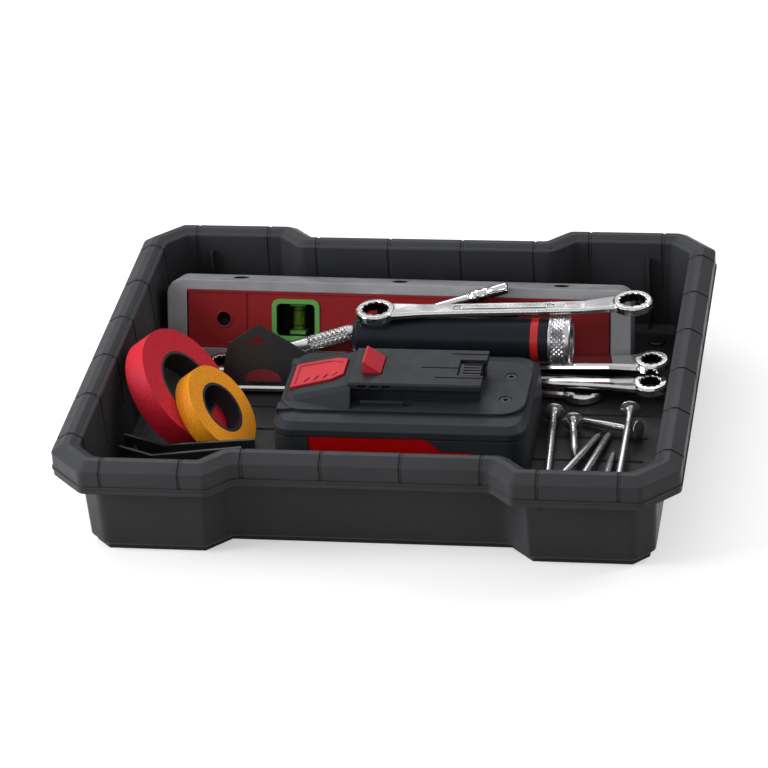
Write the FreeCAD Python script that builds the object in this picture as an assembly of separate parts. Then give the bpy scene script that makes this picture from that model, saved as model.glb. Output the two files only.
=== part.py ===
import FreeCAD, Part
import math
import os

# Lift-out tool tray of a stackable tool box, loaded with hand tools.
# Millimetres. X to the right, Y away from the viewer, Z up.
# The origin is under the middle of the tray, on the plane that it stands on.

V = FreeCAD.Vector
X_AXIS = V(1, 0, 0)
Y_AXIS = V(0, 1, 0)
Z_AXIS = V(0, 0, 1)

# Clearances
seat_gap = 0.3
running_gap = 0.05
face_gap = 0.0
flat_limit = 0.0005

# Tray, driving sizes
tray_height = 54.3
rim_half_x = 146.1
rim_tower_y = 120.9
rim_middle_y = 110.0
rim_corner_leg = 16.6
notch_outer_x = 70.4
notch_inner_x = 59.5
notch_round = 4.5
corner_round = 4.5
body_corner_round = 6.0
rim_flat = 2.85
rim_outer_run = 5.4
rim_outer_drop = 3.4
rim_inner_drop = 2.4
rim_skirt = 7.5
rim_lip = 0.5
rim_lip_height = 1.0
rim_band = 3.0
rim_wall = 1.7
body_inset = 11.5
draft = 0.0443
wall = 1.6
floor_top = 3.2
floor_thick = 1.6
base_edge_z = 2.7
base_step = 1.1
base_ring = 2.4
base_bevel = 1.6
floor_cove = 3.4
groove_pitch = 37.0
groove_width = 1.5
groove_depth = 0.35
tower_groove_x = 82.4
tower_groove_reach = 20.0
middle_groove_reach = 25.0
side_groove_reach = 26.0
wall_groove_depth = 0.3
wall_groove_end_z = 26.0
floor_rib_pitch = 21.2
floor_rib_width = 1.4
floor_rib_depth = 0.5
pocket_rib_inset = 34.1
pocket_rib_x = rim_half_x - pocket_rib_inset
pocket_rib_width = 1.6
pocket_rib_stand = 1.6
pocket_rib_top = 44.0
gate_mark_inset = 64.1
gate_mark_x = rim_half_x - gate_mark_inset
gate_mark_z = 32.4
gate_mark_r = 0.9

# Corner feet, each held by a slotted screw through the floor
foot_inset_x = 29.6
foot_inset_y = 26.9
foot_x = rim_half_x - foot_inset_x
foot_y = rim_tower_y - foot_inset_y
foot_half = 6.0
foot_cut = 2.0
foot_skin = 0.6
foot_screw_head_r = 4.4
foot_screw_head = 1.6
foot_screw_slope = 0.5
foot_screw_slot = 0.9
foot_screw_slot_deep = 0.7
foot_screw_r = 1.8
foot_screw_hole_r = 2.1

# Spirit level, in its own frame: length, back, up the face
level_left_room = 18.0
level_right_room = 39.2
level_length = 2 * rim_half_x - level_left_room - level_right_room
level_height = 39.8
level_thick = 18.6
level_lean = 20.0
level_turn = -0.84
level_x = level_left_room + level_length / 2.0 - rim_half_x
level_y = 56.0
level_corner_r = 7.5
level_edge_r = 0.9
level_flange = 5.1
level_end = 10.0
level_recess = 1.6
level_skin = 2.0
panel_thick = 1.0
panel_rib = 0.5
level_hole_x = -88.5
level_hole_r = 3.5
level_top_hole_r = 4.0
level_top_hole_pitch = 81.5
level_top_hole_deep = 3.0
vial_window_w = 24.4
vial_window_h = 21.2
vial_window_x = 52.0
vial_frame_wall = 2.4
vial_frame_stand = 0.5
vial_r = 3.0
vial_length = 15.6
window_corner = 3.2

# Sides of small round forms
ring_sides = 24
bar_sides = 20
nail_sides = 8
screw_sides = 12
corner_step_deg = 15.0

# Tape rolls
roll_lean = 52.0
roll_turn = -6.0
red_roll_r = 30.7
red_roll_width = 12.1
red_core_r = 18.2
orange_roll_r = 22.8
orange_roll_width = 9.2
orange_core_r = 13.5
core_wall = 1.5
red_roll_inset = 40.5
red_roll_x = red_roll_inset - rim_half_x
red_roll_y = -12.0
orange_roll_y = -19.5

# Battery pack
pack_x = 5.9
pack_y = -7.5
pack_length = 122.4
pack_width = 72.0
pack_wall = 2.2
pack_corner_r = 9.0
pack_bottom_cut = 1.5
pack_seam_z = 26.3
pack_side_z = 29.6
shoulder_z = 32.5
shoulder_inset = 3.2
shoulder_top_z = 33.3
shoulder_top_inset = 8.6
deck_z = 34.7
deck_half_width = 25.0
deck_inset_x = 2.2
deck_corner_r = 12.0
pack_slide_z = 45.2
pack_slide_width = 34.6
pack_slide_thick = 3.2
pack_slide_neck = 27.0
pack_slide_left = -19.0
pack_slide_right = 44.2
nose_end = (-54.3, 32.2)
nose_knee = (-50.6, 36.2)
nose_low = (-46.6, 38.0)
nose_high = (-18.6, 44.7)
nose_base_half = 24.0
nose_side_half = 18.4
nose_round_half = 16.2
nose_top_half = 14.0
nose_round_drop = 0.6
nose_side_drop = 2.4
button_left = -49.4
button_right = -23.4
button_wide = 10.8
button_narrow = 7.2
button_corner_run = 5.4
button_proud = 1.1
button_deep = 2.4
button_travel = 2.5
button_gap = 0.35
latch_travel = 3.5
latch_left = -14.0
latch_right = -5.2
latch_height = 6.2
latch_half_width = 8.0
latch_base = 6.0
deck_screw_x = 54.9
deck_screw_spread = 10.9
deck_screw_r = 3.0
deck_screw_deep = 1.6
label_left = -37.2
label_low = 12.0
label_step_z = 19.5
label_top_z = 25.9
label_top_right = 19.4
label_step_left = 25.8
label_step_right = 40.0
label_low_right = 46.0
cell_r = 9.1
cell_length = 65.0
cell_count = 5
cell_pitch = 19.0
cell_sides = 16

# Torch, along X
torch_y = 44.3
torch_left = -28.4
torch_barrel_r = 11.0
torch_barrel_right = 68.6
torch_ring_x = 60.2
torch_ring_width = 3.8
torch_ring_depth = 0.6
bezel_left = 69.0
bezel_right = 79.8
bezel_r = 12.2
bezel_wall = 1.9
bezel_bevel = 0.6
lens_r = 9.3
torch_spigot_r = 10.0

# Slim chrome handle bar leaning on the level's face, in the level's frame
bar_start = (-55.5, 5.8)
bar_end = (56.6, 40.6)
bar_grip_r = 4.1
bar_grip_from = 9.0
bar_grip_to = 27.0
bar_rod_r = 2.3
bar_collar_r = 3.4
bar_tip_r = 3.4
bar_tip_from = 97.0

# Ring spanners: middle of each ring, ring radii and thickness
ring_thick = 5.0
shank_thick = 3.4
shank_width = 9.0
small_ring = (8.7, 5.9)
large_ring = (9.8, 7.4)
long_right_ring = (10.8, 7.6)
long_right = (85.0, 39.6)
long_left = (38.3 - rim_half_x, 37.0)
middle_right = (rim_half_x - 27.7, 37.4)
middle_left = (48.1 - rim_half_x, 47.8)
upper_right = (rim_half_x - 28.1, 50.4)
upper_left = (-30.0, 43.4)
top_right = (rim_half_x - 36.7, 52.6)
top_left = (-17.0, 44.6)
top_ring_rise = 1.2

# Bent plates
plate_thick = 1.2
plate_lean = 21.0
plate_x = -69.0
plate_y = 35.9
plate_length = 52.2
plate_foot = 0.6
peak_run = 17.9
peak_height = 29.0
inlay_x = -6.2
inlay_half = 9.4
inlay_high = 5.8
inlay_thick = 0.4
bracket_thick = 1.5
bracket_height = 21.0
bracket_inset = 18.5
bracket_window_low = 11.0

# Nails
nail_r = 1.75
nail_head_r = 5.3
nail_head_thick = 1.1
nail_length = 60.0
cut_nail_length = 30.0
short_nail_length = 37.0
nail_point = 6.0
nail_tip_r = 0.3


def box(x0, x1, y0, y1, z0, z1):
    return Part.makeBox(x1 - x0, y1 - y0, z1 - z0, V(x0, y0, z0))


def rod(radius, start, end):
    axis = V(*end) - V(*start)
    return Part.makeCylinder(radius, axis.Length, V(*start), axis)


def fuse(shapes):
    first = shapes[0]
    rest = shapes[1:]
    if not rest:
        return first
    return first.multiFuse(rest).removeSplitter()


def prism(points, axis):
    wire = Part.makePolygon(points + [points[0]])
    return Part.Face(wire).extrude(axis)


def revolve_x(profile):
    """Solid of revolution about the X axis from (x, radius) pairs."""
    points = [V(x, 0, r) for x, r in profile]
    wire = Part.makePolygon(points + [points[0]])
    return Part.Face(wire).revolve(V(0, 0, 0), X_AXIS, 360)


def many_sided(radius, sides, centre, axis, start):
    """Corners of a regular outline round a point, square to axis."""
    across = axis.cross(start)
    made = []
    for i in range(sides):
        a = 2.0 * math.pi * (i + 0.5) / sides
        made.append(centre + start * (radius * math.cos(a)) + across * (radius * math.sin(a)))
    return made


def closed(points):
    return Part.makePolygon(points + [points[0]])


def patches(quad):
    """One flat face through four corners, or two where they don't lie in one plane."""
    a, b, c, d = quad
    normal = (b - a).cross(d - a).normalize()
    if abs((c - a).dot(normal)) < flat_limit:
        return [Part.Face(closed(quad))]
    return [Part.Face(closed([a, b, c])), Part.Face(closed([a, c, d]))]


def skinned(sections):
    """Solid skinned with flat faces through sections of as many corners each."""
    faces = [Part.Face(closed(sections[0])), Part.Face(closed(sections[-1]))]
    for low, high in zip(sections[:-1], sections[1:]):
        for i in range(len(low)):
            j = (i + 1) % len(low)
            faces += patches([low[i], low[j], high[j], high[i]])
    shell = Part.Shell(faces)
    shell.sewShape()
    solid = Part.Solid(shell)
    if solid.Volume < 0:
        solid.reverse()
    return solid


def turned(profile, sides):
    """Many-sided turned solid about the X axis through (x, radius) stations."""
    return skinned([many_sided(r, sides, V(x, 0, 0), X_AXIS, Y_AXIS) for x, r in profile])


def facet_rod(radius, start, end, sides):
    """Many-sided rod or hole between two points."""
    axis = V(*end) - V(*start)
    unit = V(axis).normalize()
    side = X_AXIS if abs(unit.x) < 0.5 else Y_AXIS
    return prism(many_sided(radius, sides, V(*start), unit, side), axis)


def soft_outline(x0, x1, z0, z1, cut, y):
    """Corners of an upright rectangle whose own corners are eased in two steps."""
    near = cut * 0.3
    made = []
    for x, z, sx, sz in ((x0, z0, 1, 1), (x1, z0, -1, 1), (x1, z1, -1, -1), (x0, z1, 1, -1)):
        trio = [V(x, y, z + sz * cut), V(x + sx * near, y, z + sz * near), V(x + sx * cut, y, z)]
        if sx != sz:
            trio.reverse()
        made += trio
    return made


def corner_normal(a, b):
    edge = b - a
    return V(edge.y, -edge.x, 0) * (1.0 / edge.Length)


def parallel(points, inset):
    """The closed outline moved inwards by inset, with mitred corners."""
    moved = []
    count = len(points)
    for i in range(count):
        before = corner_normal(points[i - 1], points[i])
        after = corner_normal(points[i], points[(i + 1) % count])
        share = 1.0 + before.dot(after)
        moved.append(points[i] - (before + after) * (inset / share))
    return moved


def eased(points, radii):
    """Corners of an outline, each rounded by its own radius in short equal steps."""
    made = []
    count = len(points)
    for i in range(count):
        here = points[i]
        to_before = (points[i - 1] - here).normalize()
        to_after = (points[(i + 1) % count] - here).normalize()
        opening = math.acos(max(-1.0, min(1.0, to_before.dot(to_after))))
        turn = math.pi - opening
        steps = max(2, int(math.ceil(math.degrees(turn) / corner_step_deg - 0.01)))
        centre = here + (to_before + to_after).normalize() * (radii[i] / math.sin(opening / 2.0))
        start = here + to_before * (radii[i] / math.tan(opening / 2.0)) - centre
        inward = to_before * -1.0
        for k in range(steps + 1):
            a = turn * k / steps
            made.append(centre + start * math.cos(a) + inward * (radii[i] * math.sin(a)))
    return made


def lifted(points, z):
    return [p + V(0, 0, z) for p in points]


def quarter_outline():
    return [
        V(rim_half_x, 0, 0),
        V(rim_half_x, rim_tower_y - rim_corner_leg, 0),
        V(rim_half_x - rim_corner_leg, rim_tower_y, 0),
        V(notch_outer_x, rim_tower_y, 0),
        V(notch_inner_x, rim_middle_y, 0),
    ]


def tray_outline():
    """Outer outline of the rim, counter-clockwise, with a notch in front and back."""
    right_back = quarter_outline()[1:]
    left_back = [V(-p.x, p.y, 0) for p in reversed(right_back)]
    left_front = [V(-p.x, -p.y, 0) for p in right_back]
    right_front = [V(p.x, -p.y, 0) for p in reversed(right_back)]
    return right_back + left_back + left_front + right_front


def corner_radii(inset):
    """Convex corners lose radius and concave corners gain it as the outline shrinks."""
    start = body_corner_round + body_inset * 0.25 if inset > rim_outer_run + rim_flat else corner_round
    convex = max(start - inset * 0.25, 1.5)
    tower = max(notch_round - inset * 0.2, 1.5)
    valley = notch_round + inset * 0.25
    quarter = [convex, convex, tower, valley]
    return quarter + quarter[::-1] + quarter + quarter[::-1]


def tray_ring(inset, z, rounded):
    outline = parallel(tray_outline(), inset)
    if rounded:
        outline = eased(outline, corner_radii(inset))
    return lifted(outline, z)


def stack(levels, rounded=True):
    """Solid through (z, inset) levels of the tray's outline."""
    return skinned([tray_ring(inset, z, rounded) for z, inset in levels])


def body_inset_at(z):
    return body_inset + (rim_low_z - z) * draft


rim_top = tray_height
rim_slope_z = rim_top - rim_outer_drop
rim_lip_z = rim_slope_z - rim_skirt
rim_low_z = rim_lip_z - rim_lip_height - rim_band
inner_slope_z = rim_top - rim_inner_drop
inner_edge = rim_outer_run + rim_flat
wall_top_inset = body_inset_at(inner_slope_z) + wall


def tray_outside():
    rim = stack([
        (rim_low_z, 0.0),
        (rim_slope_z, 0.0),
        (rim_top, rim_outer_run),
    ])
    lip = stack([
        (rim_lip_z - rim_lip_height, -rim_lip),
        (rim_lip_z, -rim_lip),
    ])
    body = stack([
        (base_edge_z, body_inset_at(base_edge_z) + base_bevel),
        (base_edge_z + base_bevel, body_inset_at(base_edge_z + base_bevel)),
        (rim_low_z + 1.0, body_inset_at(rim_low_z + 1.0)),
    ])
    plinth_inset = body_inset_at(base_edge_z) + base_bevel + base_step
    plinth = stack([(0.0, plinth_inset), (base_edge_z, plinth_inset)], False)
    return fuse([rim, lip, body, plinth])


def tray_cavity(grow):
    """Room inside the tray, grown sideways by grow."""
    cove = floor_cove
    return stack([
        (floor_top, body_inset_at(floor_top) + wall + cove - grow),
        (floor_top + cove, body_inset_at(floor_top + cove) + wall - grow),
        (inner_slope_z, wall_top_inset - grow),
        (rim_top, inner_edge - grow),
        (rim_top + 2.0, inner_edge - grow),
    ])


def rim_underside():
    """Hollow between the hanging skirt and the wall, open below."""
    roof = rim_slope_z - rim_wall * 0.6
    outer = stack([
        (rim_low_z - 1.0, rim_wall),
        (roof, rim_wall),
        (rim_top - rim_wall, rim_outer_run + rim_wall * 0.5),
    ], False)
    core = stack([
        (rim_low_z - 2.0, body_inset_at(rim_low_z)),
        (rim_top, body_inset_at(rim_top)),
    ], False)
    return outer.cut(core)


def base_hollow():
    plinth_inset = body_inset_at(base_edge_z) + base_bevel + base_step
    return stack([
        (-1.0, plinth_inset + base_ring),
        (floor_top - floor_thick, plinth_inset + base_ring),
    ], False)


def wide_slab(z_low, z_high):
    return box(-rim_half_x - 20, rim_half_x + 20, -rim_tower_y - 20, rim_tower_y + 20, z_low, z_high)


def groove_slabs(z_low):
    """Thin slabs across the rim where its shallow grooves run."""
    half = groove_width / 2.0
    slabs = []
    tower_xs = [tower_groove_x, tower_groove_x + groove_pitch]
    middle_xs = [groove_pitch * 0.5, groove_pitch * 1.5]
    far = rim_tower_y + 9.0
    for xs, near in ((tower_xs, rim_tower_y - tower_groove_reach), (middle_xs, rim_middle_y - middle_groove_reach)):
        for x in xs + [-x for x in xs]:
            slabs.append(box(x - half, x + half, near, far, z_low, rim_top + 1))
            slabs.append(box(x - half, x + half, -far, -near, z_low, rim_top + 1))
    near = rim_half_x - side_groove_reach
    far = rim_half_x + 9.0
    for step in (-2.5, -1.5, -0.5, 0.5, 1.5, 2.5):
        y = step * groove_pitch
        slabs.append(box(near, far, y - half, y + half, z_low, rim_top + 1))
        slabs.append(box(-far, -near, y - half, y + half, z_low, rim_top + 1))
    return Part.makeCompound(slabs)


def rim_grooves():
    skin_outer = stack([
        (rim_lip_z, -1.0),
        (rim_slope_z, -1.0),
        (rim_top + 1.0, rim_outer_run - 1.0),
    ], False)
    skin_core = stack([
        (rim_lip_z - 1.0, groove_depth),
        (rim_slope_z - groove_depth * 0.4, groove_depth),
        (rim_top - groove_depth, rim_outer_run + groove_depth * 0.4),
    ], False)
    inner_funnel = tray_cavity(groove_depth)
    skin = skin_outer.cut(skin_core)
    inner = inner_funnel.common(wide_slab(inner_slope_z, rim_top + 1))
    slabs = groove_slabs(rim_lip_z)
    return skin.common(slabs), inner.common(slabs)


def wall_grooves():
    grown = tray_cavity(wall_groove_depth)
    band = wide_slab(wall_groove_end_z, inner_slope_z)
    return grown.common(band).common(groove_slabs(wall_groove_end_z))


def floor_ribs():
    """Shallow lines pressed into the floor, running left to right."""
    cuts = []
    reach = rim_half_x - 26.0
    count = 4
    for step in range(-count, count + 1):
        y = step * floor_rib_pitch
        half = floor_rib_width / 2.0
        cuts.append(box(-reach, reach, y - half, y + half, floor_top - floor_rib_depth, floor_top + 1))
    return Part.makeCompound(cuts)


def pocket_ribs():
    """Upright ribs on the back wall of the two rear pockets."""
    ribs = []
    for side in (1, -1):
        x = side * pocket_rib_x
        inner_y = rim_tower_y - body_inset_at(floor_top) - wall
        half = pocket_rib_width / 2.0
        rib = box(x - half, x + half, inner_y - pocket_rib_stand, inner_y + 3.0, floor_top, pocket_rib_top)
        ribs.append(rib)
    return ribs


def gate_marks():
    marks = []
    face_y = rim_tower_y - body_inset_at(gate_mark_z)
    for x in (gate_mark_x, -gate_mark_x):
        start = (x, -face_y - 2.0, gate_mark_z)
        marks.append(facet_rod(gate_mark_r, start, (x, -face_y + 0.7, gate_mark_z), screw_sides))
    return Part.makeCompound(marks)


def corners(x, y):
    return [(sx * x, sy * y) for sx in (1, -1) for sy in (1, -1)]


def tray_shell():
    shell = tray_outside().cut(tray_cavity(0.0)).cut(rim_underside()).cut(base_hollow())
    outer_grooves, inner_grooves = rim_grooves()
    shell = shell.cut(outer_grooves).cut(inner_grooves).cut(wall_grooves())
    shell = shell.cut(floor_ribs()).cut(gate_marks())
    shell = fuse([shell] + pocket_ribs())
    holes = []
    for x, y in corners(foot_x, foot_y):
        holes.append(facet_rod(foot_screw_hole_r, (x, y, -1), (x, y, floor_top + 1), screw_sides))
    return shell.cut(Part.makeCompound(holes))


def rubber_feet():
    feet = []
    top = floor_top - floor_thick
    a = foot_half
    b = foot_half - foot_cut
    outline = [(a, -b), (a, b), (b, a), (-b, a), (-a, b), (-a, -b), (-b, -a), (b, -a)]
    for x, y in corners(foot_x, foot_y):
        pad = prism([V(x + dx, y + dy, 0) for dx, dy in outline], V(0, 0, top))
        bore = facet_rod(foot_screw_r, (x, y, foot_skin), (x, y, top + 1), screw_sides)
        feet.append(pad.cut(bore))
    return Part.makeCompound(feet)


def foot_screws():
    """Slotted pan heads on the floor, with their shafts down into the feet."""
    screws = []
    crown = foot_screw_head - foot_screw_slope
    stations = [(0.0, foot_screw_head_r), (crown, foot_screw_head_r), (foot_screw_head, foot_screw_head_r - 0.9)]
    half = foot_screw_slot / 2.0
    reach = foot_screw_head_r + 1.0
    for x, y in corners(foot_x, foot_y):
        head = turned(stations, screw_sides)
        head.rotate(V(0, 0, 0), Y_AXIS, -90)
        head.translate(V(x, y, floor_top))
        slot_z = floor_top + foot_screw_head - foot_screw_slot_deep
        slot = box(x - reach, x + reach, y - half, y + half, slot_z, floor_top + 3)
        shaft = facet_rod(foot_screw_r, (x, y, foot_skin + 0.2), (x, y, floor_top + 0.2), screw_sides)
        screws.append(fuse([head.cut(slot), shaft]))
    return Part.makeCompound(screws)


def place_level(shape):
    """Leans a shape made in the level's frame back and stands it in the tray."""
    low = level_thick * math.sin(math.radians(level_lean))
    moved = shape.copy()
    moved.rotate(V(0, 0, 0), X_AXIS, -level_lean)
    moved.rotate(V(0, 0, 0), Z_AXIS, level_turn)
    moved.translate(V(level_x, level_y, floor_top + low + face_gap))
    return moved


def vial_centres():
    return [(-vial_window_x + 0.5, "upright"), (0.0, "level"), (vial_window_x - 0.5, "upright")]


def window(x, extra):
    half_w = vial_window_w / 2.0 + extra
    half_h = vial_window_h / 2.0 + extra
    mid = level_height / 2.0 + 0.5
    outline = soft_outline(x - half_w, x + half_w, mid - half_h, mid + half_h, window_corner + extra * 0.5, -1.0)
    return prism(outline, V(0, level_thick + 2.0, 0))


def hang_hole():
    mid = level_height / 2.0
    return facet_rod(level_hole_r, (level_hole_x, -1, mid), (level_hole_x, level_thick + 1, mid), ring_sides)


def level_beam():
    half = level_length / 2.0
    beam = box(-half, half, 0, level_thick, 0, level_height)
    ends = [e for e in beam.Edges if abs(e.Length - level_thick) < 0.01]
    beam = beam.makeFillet(level_corner_r, ends)
    for back in (False, True):
        y0 = level_thick - level_recess if back else -1.0
        y1 = level_thick + 1.0 if back else level_recess
        beam = beam.cut(box(-half + level_end, half - level_end, y0, y1,
                            level_flange, level_height - level_flange))
    for x, kind in vial_centres():
        beam = beam.cut(window(x, 0.0))
    beam = beam.cut(hang_hole())
    for step in (-1, 0, 1):
        x = step * level_top_hole_pitch
        mid = level_thick * 0.55
        low = (x, mid, level_height - level_top_hole_deep)
        beam = beam.cut(facet_rod(level_top_hole_r, low, (x, mid, level_height + 1), ring_sides))
    groove = prism([V(-half - 1, level_thick / 2.0 - 2.5, -0.01), V(-half - 1, level_thick / 2.0 + 2.5, -0.01),
                    V(-half - 1, level_thick / 2.0, 2.2)], V(level_length + 2, 0, 0))
    return beam.cut(groove)


def level_panels():
    """Thin coloured panels in the beam's front and back recesses."""
    panels = []
    half = level_length / 2.0 - level_end - 0.1
    low = level_flange + 0.1
    high = level_height - level_flange - 0.1
    for front in (True, False):
        y0 = level_recess - panel_thick if front else level_thick - level_recess
        plate = box(-half, half, y0, y0 + panel_thick, low, high)
        rib_y0 = y0 - panel_rib if front else y0 + panel_thick
        ribs = [
            box(-half, half, rib_y0, rib_y0 + panel_rib, high - 1.2, high),
            box(-half, half, rib_y0, rib_y0 + panel_rib, low, low + 1.2),
        ]
        for x in (-77.6, 77.6):
            ribs.append(box(x - 0.8, x + 0.8, rib_y0, rib_y0 + panel_rib, low, high))
        plate = fuse([plate] + ribs)
        for x, kind in vial_centres():
            plate = plate.cut(window(x, 0.0))
        plate = plate.cut(hang_hole())
        panels.append(plate)
    return Part.makeCompound(panels)


def vial_frames():
    frames = []
    front = level_recess - panel_thick - vial_frame_stand
    back = level_thick - front
    for x, kind in vial_centres():
        outer = window(x, 0.0)
        inner = window(x, -vial_frame_wall)
        ring = outer.cut(inner).common(box(x - 20, x + 20, front, back, 0, level_height))
        mid = level_height / 2.0 + 0.5
        depth = level_thick / 2.0
        grip = vial_r + 1.0
        half_w = vial_window_w / 2.0 - 1.0
        half_h = vial_window_h / 2.0 - 1.0
        ends = []
        for side in (1, -1):
            if kind == "upright":
                z_out = mid + side * half_h
                z_in = mid + side * (vial_length / 2.0 - 1.5)
                ends.append(box(x - grip, x + grip, depth - grip, depth + grip,
                                min(z_in, z_out), max(z_in, z_out)))
            else:
                x_out = x + side * half_w
                x_in = x + side * (vial_length / 2.0 - 1.5)
                ends.append(box(min(x_in, x_out), max(x_in, x_out), depth - grip, depth + grip,
                                mid - grip, mid + grip))
        frame = fuse([ring] + ends)
        frames.append(frame.cut(vial_rod(x, kind, 0.0)))
    return Part.makeCompound(frames)


def vial_rod(x, kind, gap):
    mid = level_height / 2.0 + 0.5
    depth = level_thick / 2.0
    half = vial_length / 2.0 + gap
    if kind == "upright":
        return facet_rod(vial_r + gap, (x, depth, mid - half), (x, depth, mid + half), cell_sides)
    return facet_rod(vial_r + gap, (x - half, depth, mid), (x + half, depth, mid), cell_sides)


def vials():
    return Part.makeCompound([vial_rod(x, kind, 0.0) for x, kind in vial_centres()])


def roll_shapes(outer_r, core_r, width):
    """A tape roll lying on its side at the origin: winding and cardboard core."""
    low = V(0, 0, -width / 2.0)
    below = V(0, 0, -width / 2.0 - 1.0)
    winding = Part.makeCylinder(outer_r, width, low, Z_AXIS)
    winding = winding.cut(Part.makeCylinder(core_r, width + 2.0, below, Z_AXIS))
    core = Part.makeCylinder(core_r, width, low, Z_AXIS)
    core = core.cut(Part.makeCylinder(core_r - core_wall, width + 2.0, below, Z_AXIS))
    return winding, core


def roll_axis():
    lean = math.radians(roll_lean)
    turn = math.radians(roll_turn)
    return V(math.sin(lean) * math.cos(turn), math.sin(lean) * math.sin(turn), math.cos(lean))


def roll_height(radius, width):
    """Height of a leaning roll's middle when its lowest edge is just over the floor."""
    lean = math.radians(roll_lean)
    return floor_top + seat_gap + radius * math.sin(lean) + width / 2.0 * math.cos(lean)


def place_roll(shape, centre):
    moved = shape.copy()
    moved.rotate(V(0, 0, 0), Y_AXIS, roll_lean)
    moved.rotate(V(0, 0, 0), Z_AXIS, roll_turn)
    moved.translate(centre)
    return moved


def red_roll_centre():
    return V(red_roll_x, red_roll_y, roll_height(red_roll_r, red_roll_width))


def orange_roll_centre():
    """The orange roll leans on the red roll's face, with its lowest edge on the floor."""
    z = roll_height(orange_roll_r, orange_roll_width)
    axis = roll_axis()
    red = red_roll_centre()
    apart = (red_roll_width + orange_roll_width) / 2.0 + seat_gap
    along = apart - (orange_roll_y - red.y) * axis.y - (z - red.z) * axis.z
    return V(red.x + along / axis.x, orange_roll_y, z)


def rolls():
    made = {}
    for name, outer, core, width, centre in (
        ("red", red_roll_r, red_core_r, red_roll_width, red_roll_centre()),
        ("orange", orange_roll_r, orange_core_r, orange_roll_width, orange_roll_centre()),
    ):
        winding, tube = roll_shapes(outer, core, width)
        made[name + "_tape"] = place_roll(winding, centre)
        made[name + "_tape_core"] = place_roll(tube, centre)
    return made


def rounded_box(x0, x1, y0, y1, z0, z1, radius):
    outline = [V(x1, y0, 0), V(x1, y1, 0), V(x0, y1, 0), V(x0, y0, 0)]
    return prism(lifted(eased(outline, [radius] * 4), z0), V(0, 0, z1 - z0))


pack_left = pack_x - pack_length / 2.0
pack_right = pack_x + pack_length / 2.0
pack_front = pack_y - pack_width / 2.0
pack_back = pack_y + pack_width / 2.0


def pack_ring(inset, z):
    """Outline of the pack's body, inset from its sides, with rounded corners."""
    x0 = pack_left + inset
    x1 = pack_right - inset
    y0 = pack_front + inset
    y1 = pack_back - inset
    outline = [V(x1, y0, 0), V(x1, y1, 0), V(x0, y1, 0), V(x0, y0, 0)]
    return lifted(eased(outline, [pack_corner_r - inset * 0.4] * 4), z)


def pack_stack(levels):
    return skinned([pack_ring(inset, z) for z, inset in levels])


def pack_deck():
    """Raised plateau that carries the nose and the slide."""
    return rounded_box(pack_left + deck_inset_x, pack_right - deck_inset_x, pack_y - deck_half_width,
                       pack_y + deck_half_width, pack_side_z, deck_z, deck_corner_r)


def pack_outside():
    body = pack_stack([
        (floor_top, pack_bottom_cut),
        (floor_top + pack_bottom_cut, 0.0),
        (pack_side_z, 0.0),
        (shoulder_z, shoulder_inset),
        (shoulder_top_z, shoulder_top_inset),
    ])
    return fuse([body, pack_deck()])


def nose_section(x, top):
    """Half-rounded section of the nose, square to X, up to height top."""
    side = max(top - nose_side_drop, deck_z - 0.4)
    half = [
        (nose_base_half, pack_side_z), (nose_base_half, min(deck_z, side) - 0.2), (nose_side_half, side),
        (nose_round_half, top - nose_round_drop), (nose_top_half, top),
    ]
    right = [V(x, pack_y + w, z) for w, z in half]
    left = [V(x, pack_y - w, z) for w, z in reversed(half)]
    return right + left


def nose():
    """Raised nose with a sloping top, lofted from its end to the slide."""
    stations = [nose_end, nose_knee, nose_low, nose_high]
    return skinned([nose_section(x, top) for x, top in stations])


def slide_rail():
    """Raised slide with an undercut along both sides and an open terminal bay."""
    top = box(pack_slide_left - 1, pack_slide_right, pack_y - pack_slide_width / 2.0,
              pack_y + pack_slide_width / 2.0, pack_slide_z - pack_slide_thick, pack_slide_z)
    front_edges = [e for e in top.Edges if e.BoundBox.ZLength < 0.01 and e.BoundBox.ZMax > pack_slide_z - 0.01
                   and e.BoundBox.YLength < 0.01]
    top = top.makeChamfer(0.8, front_edges)
    neck = box(pack_slide_left - 1, pack_slide_right - 1.2, pack_y - pack_slide_neck / 2.0,
               pack_y + pack_slide_neck / 2.0, deck_z - 1, pack_slide_z - pack_slide_thick + 0.01)
    rail = fuse([top, neck])
    bay = box(terminal_left, pack_slide_right + 1, pack_y - terminal_half, pack_y + terminal_half,
              deck_z + 1.2, pack_slide_z + 1)
    rail = rail.cut(bay)
    for x0, x1, dy in ((26.5, 50.0, 12.8), (13.5, 33.0, -0.6), (21.5, 50.0, -9.8)):
        y = pack_y + dy
        rail = rail.cut(box(x0, x1, y - 0.4, y + 0.4, pack_slide_z - 1.6, pack_slide_z + 1))
    for step in range(3):
        x = -15.0 + step * 5.8
        rail = rail.cut(box(x, x + 4.0, pack_front, pack_y - pack_slide_width / 2.0 + 1.2,
                            pack_slide_z - 2.5, pack_slide_z - 1.1))
    return rail


terminal_left = 31.5
terminal_half = 7.4


def button_outline(grow):
    """Outline of the release button on the nose's slope, seen from above."""
    left = button_left - grow
    right = button_right + grow
    wide = button_wide + grow
    narrow = button_narrow + grow
    return [
        V(left, pack_y - wide, 0),
        V(right - button_corner_run, pack_y - wide + 0.8, 0),
        V(right, pack_y - narrow, 0),
        V(right, pack_y + narrow, 0),
        V(right - button_corner_run, pack_y + wide - 0.8, 0),
        V(left, pack_y + wide, 0),
    ]


def slope_axis():
    """Unit vector square to the sloping button face, pointing into the nose."""
    dx = nose_high[0] - nose_low[0]
    dz = nose_high[1] - nose_low[1]
    size = math.hypot(dx, dz)
    return V(dz / size, 0, -dx / size)


def slope_height(x):
    share = (x - nose_low[0]) / (nose_high[0] - nose_low[0])
    return nose_low[1] + share * (nose_high[1] - nose_low[1])


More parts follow.
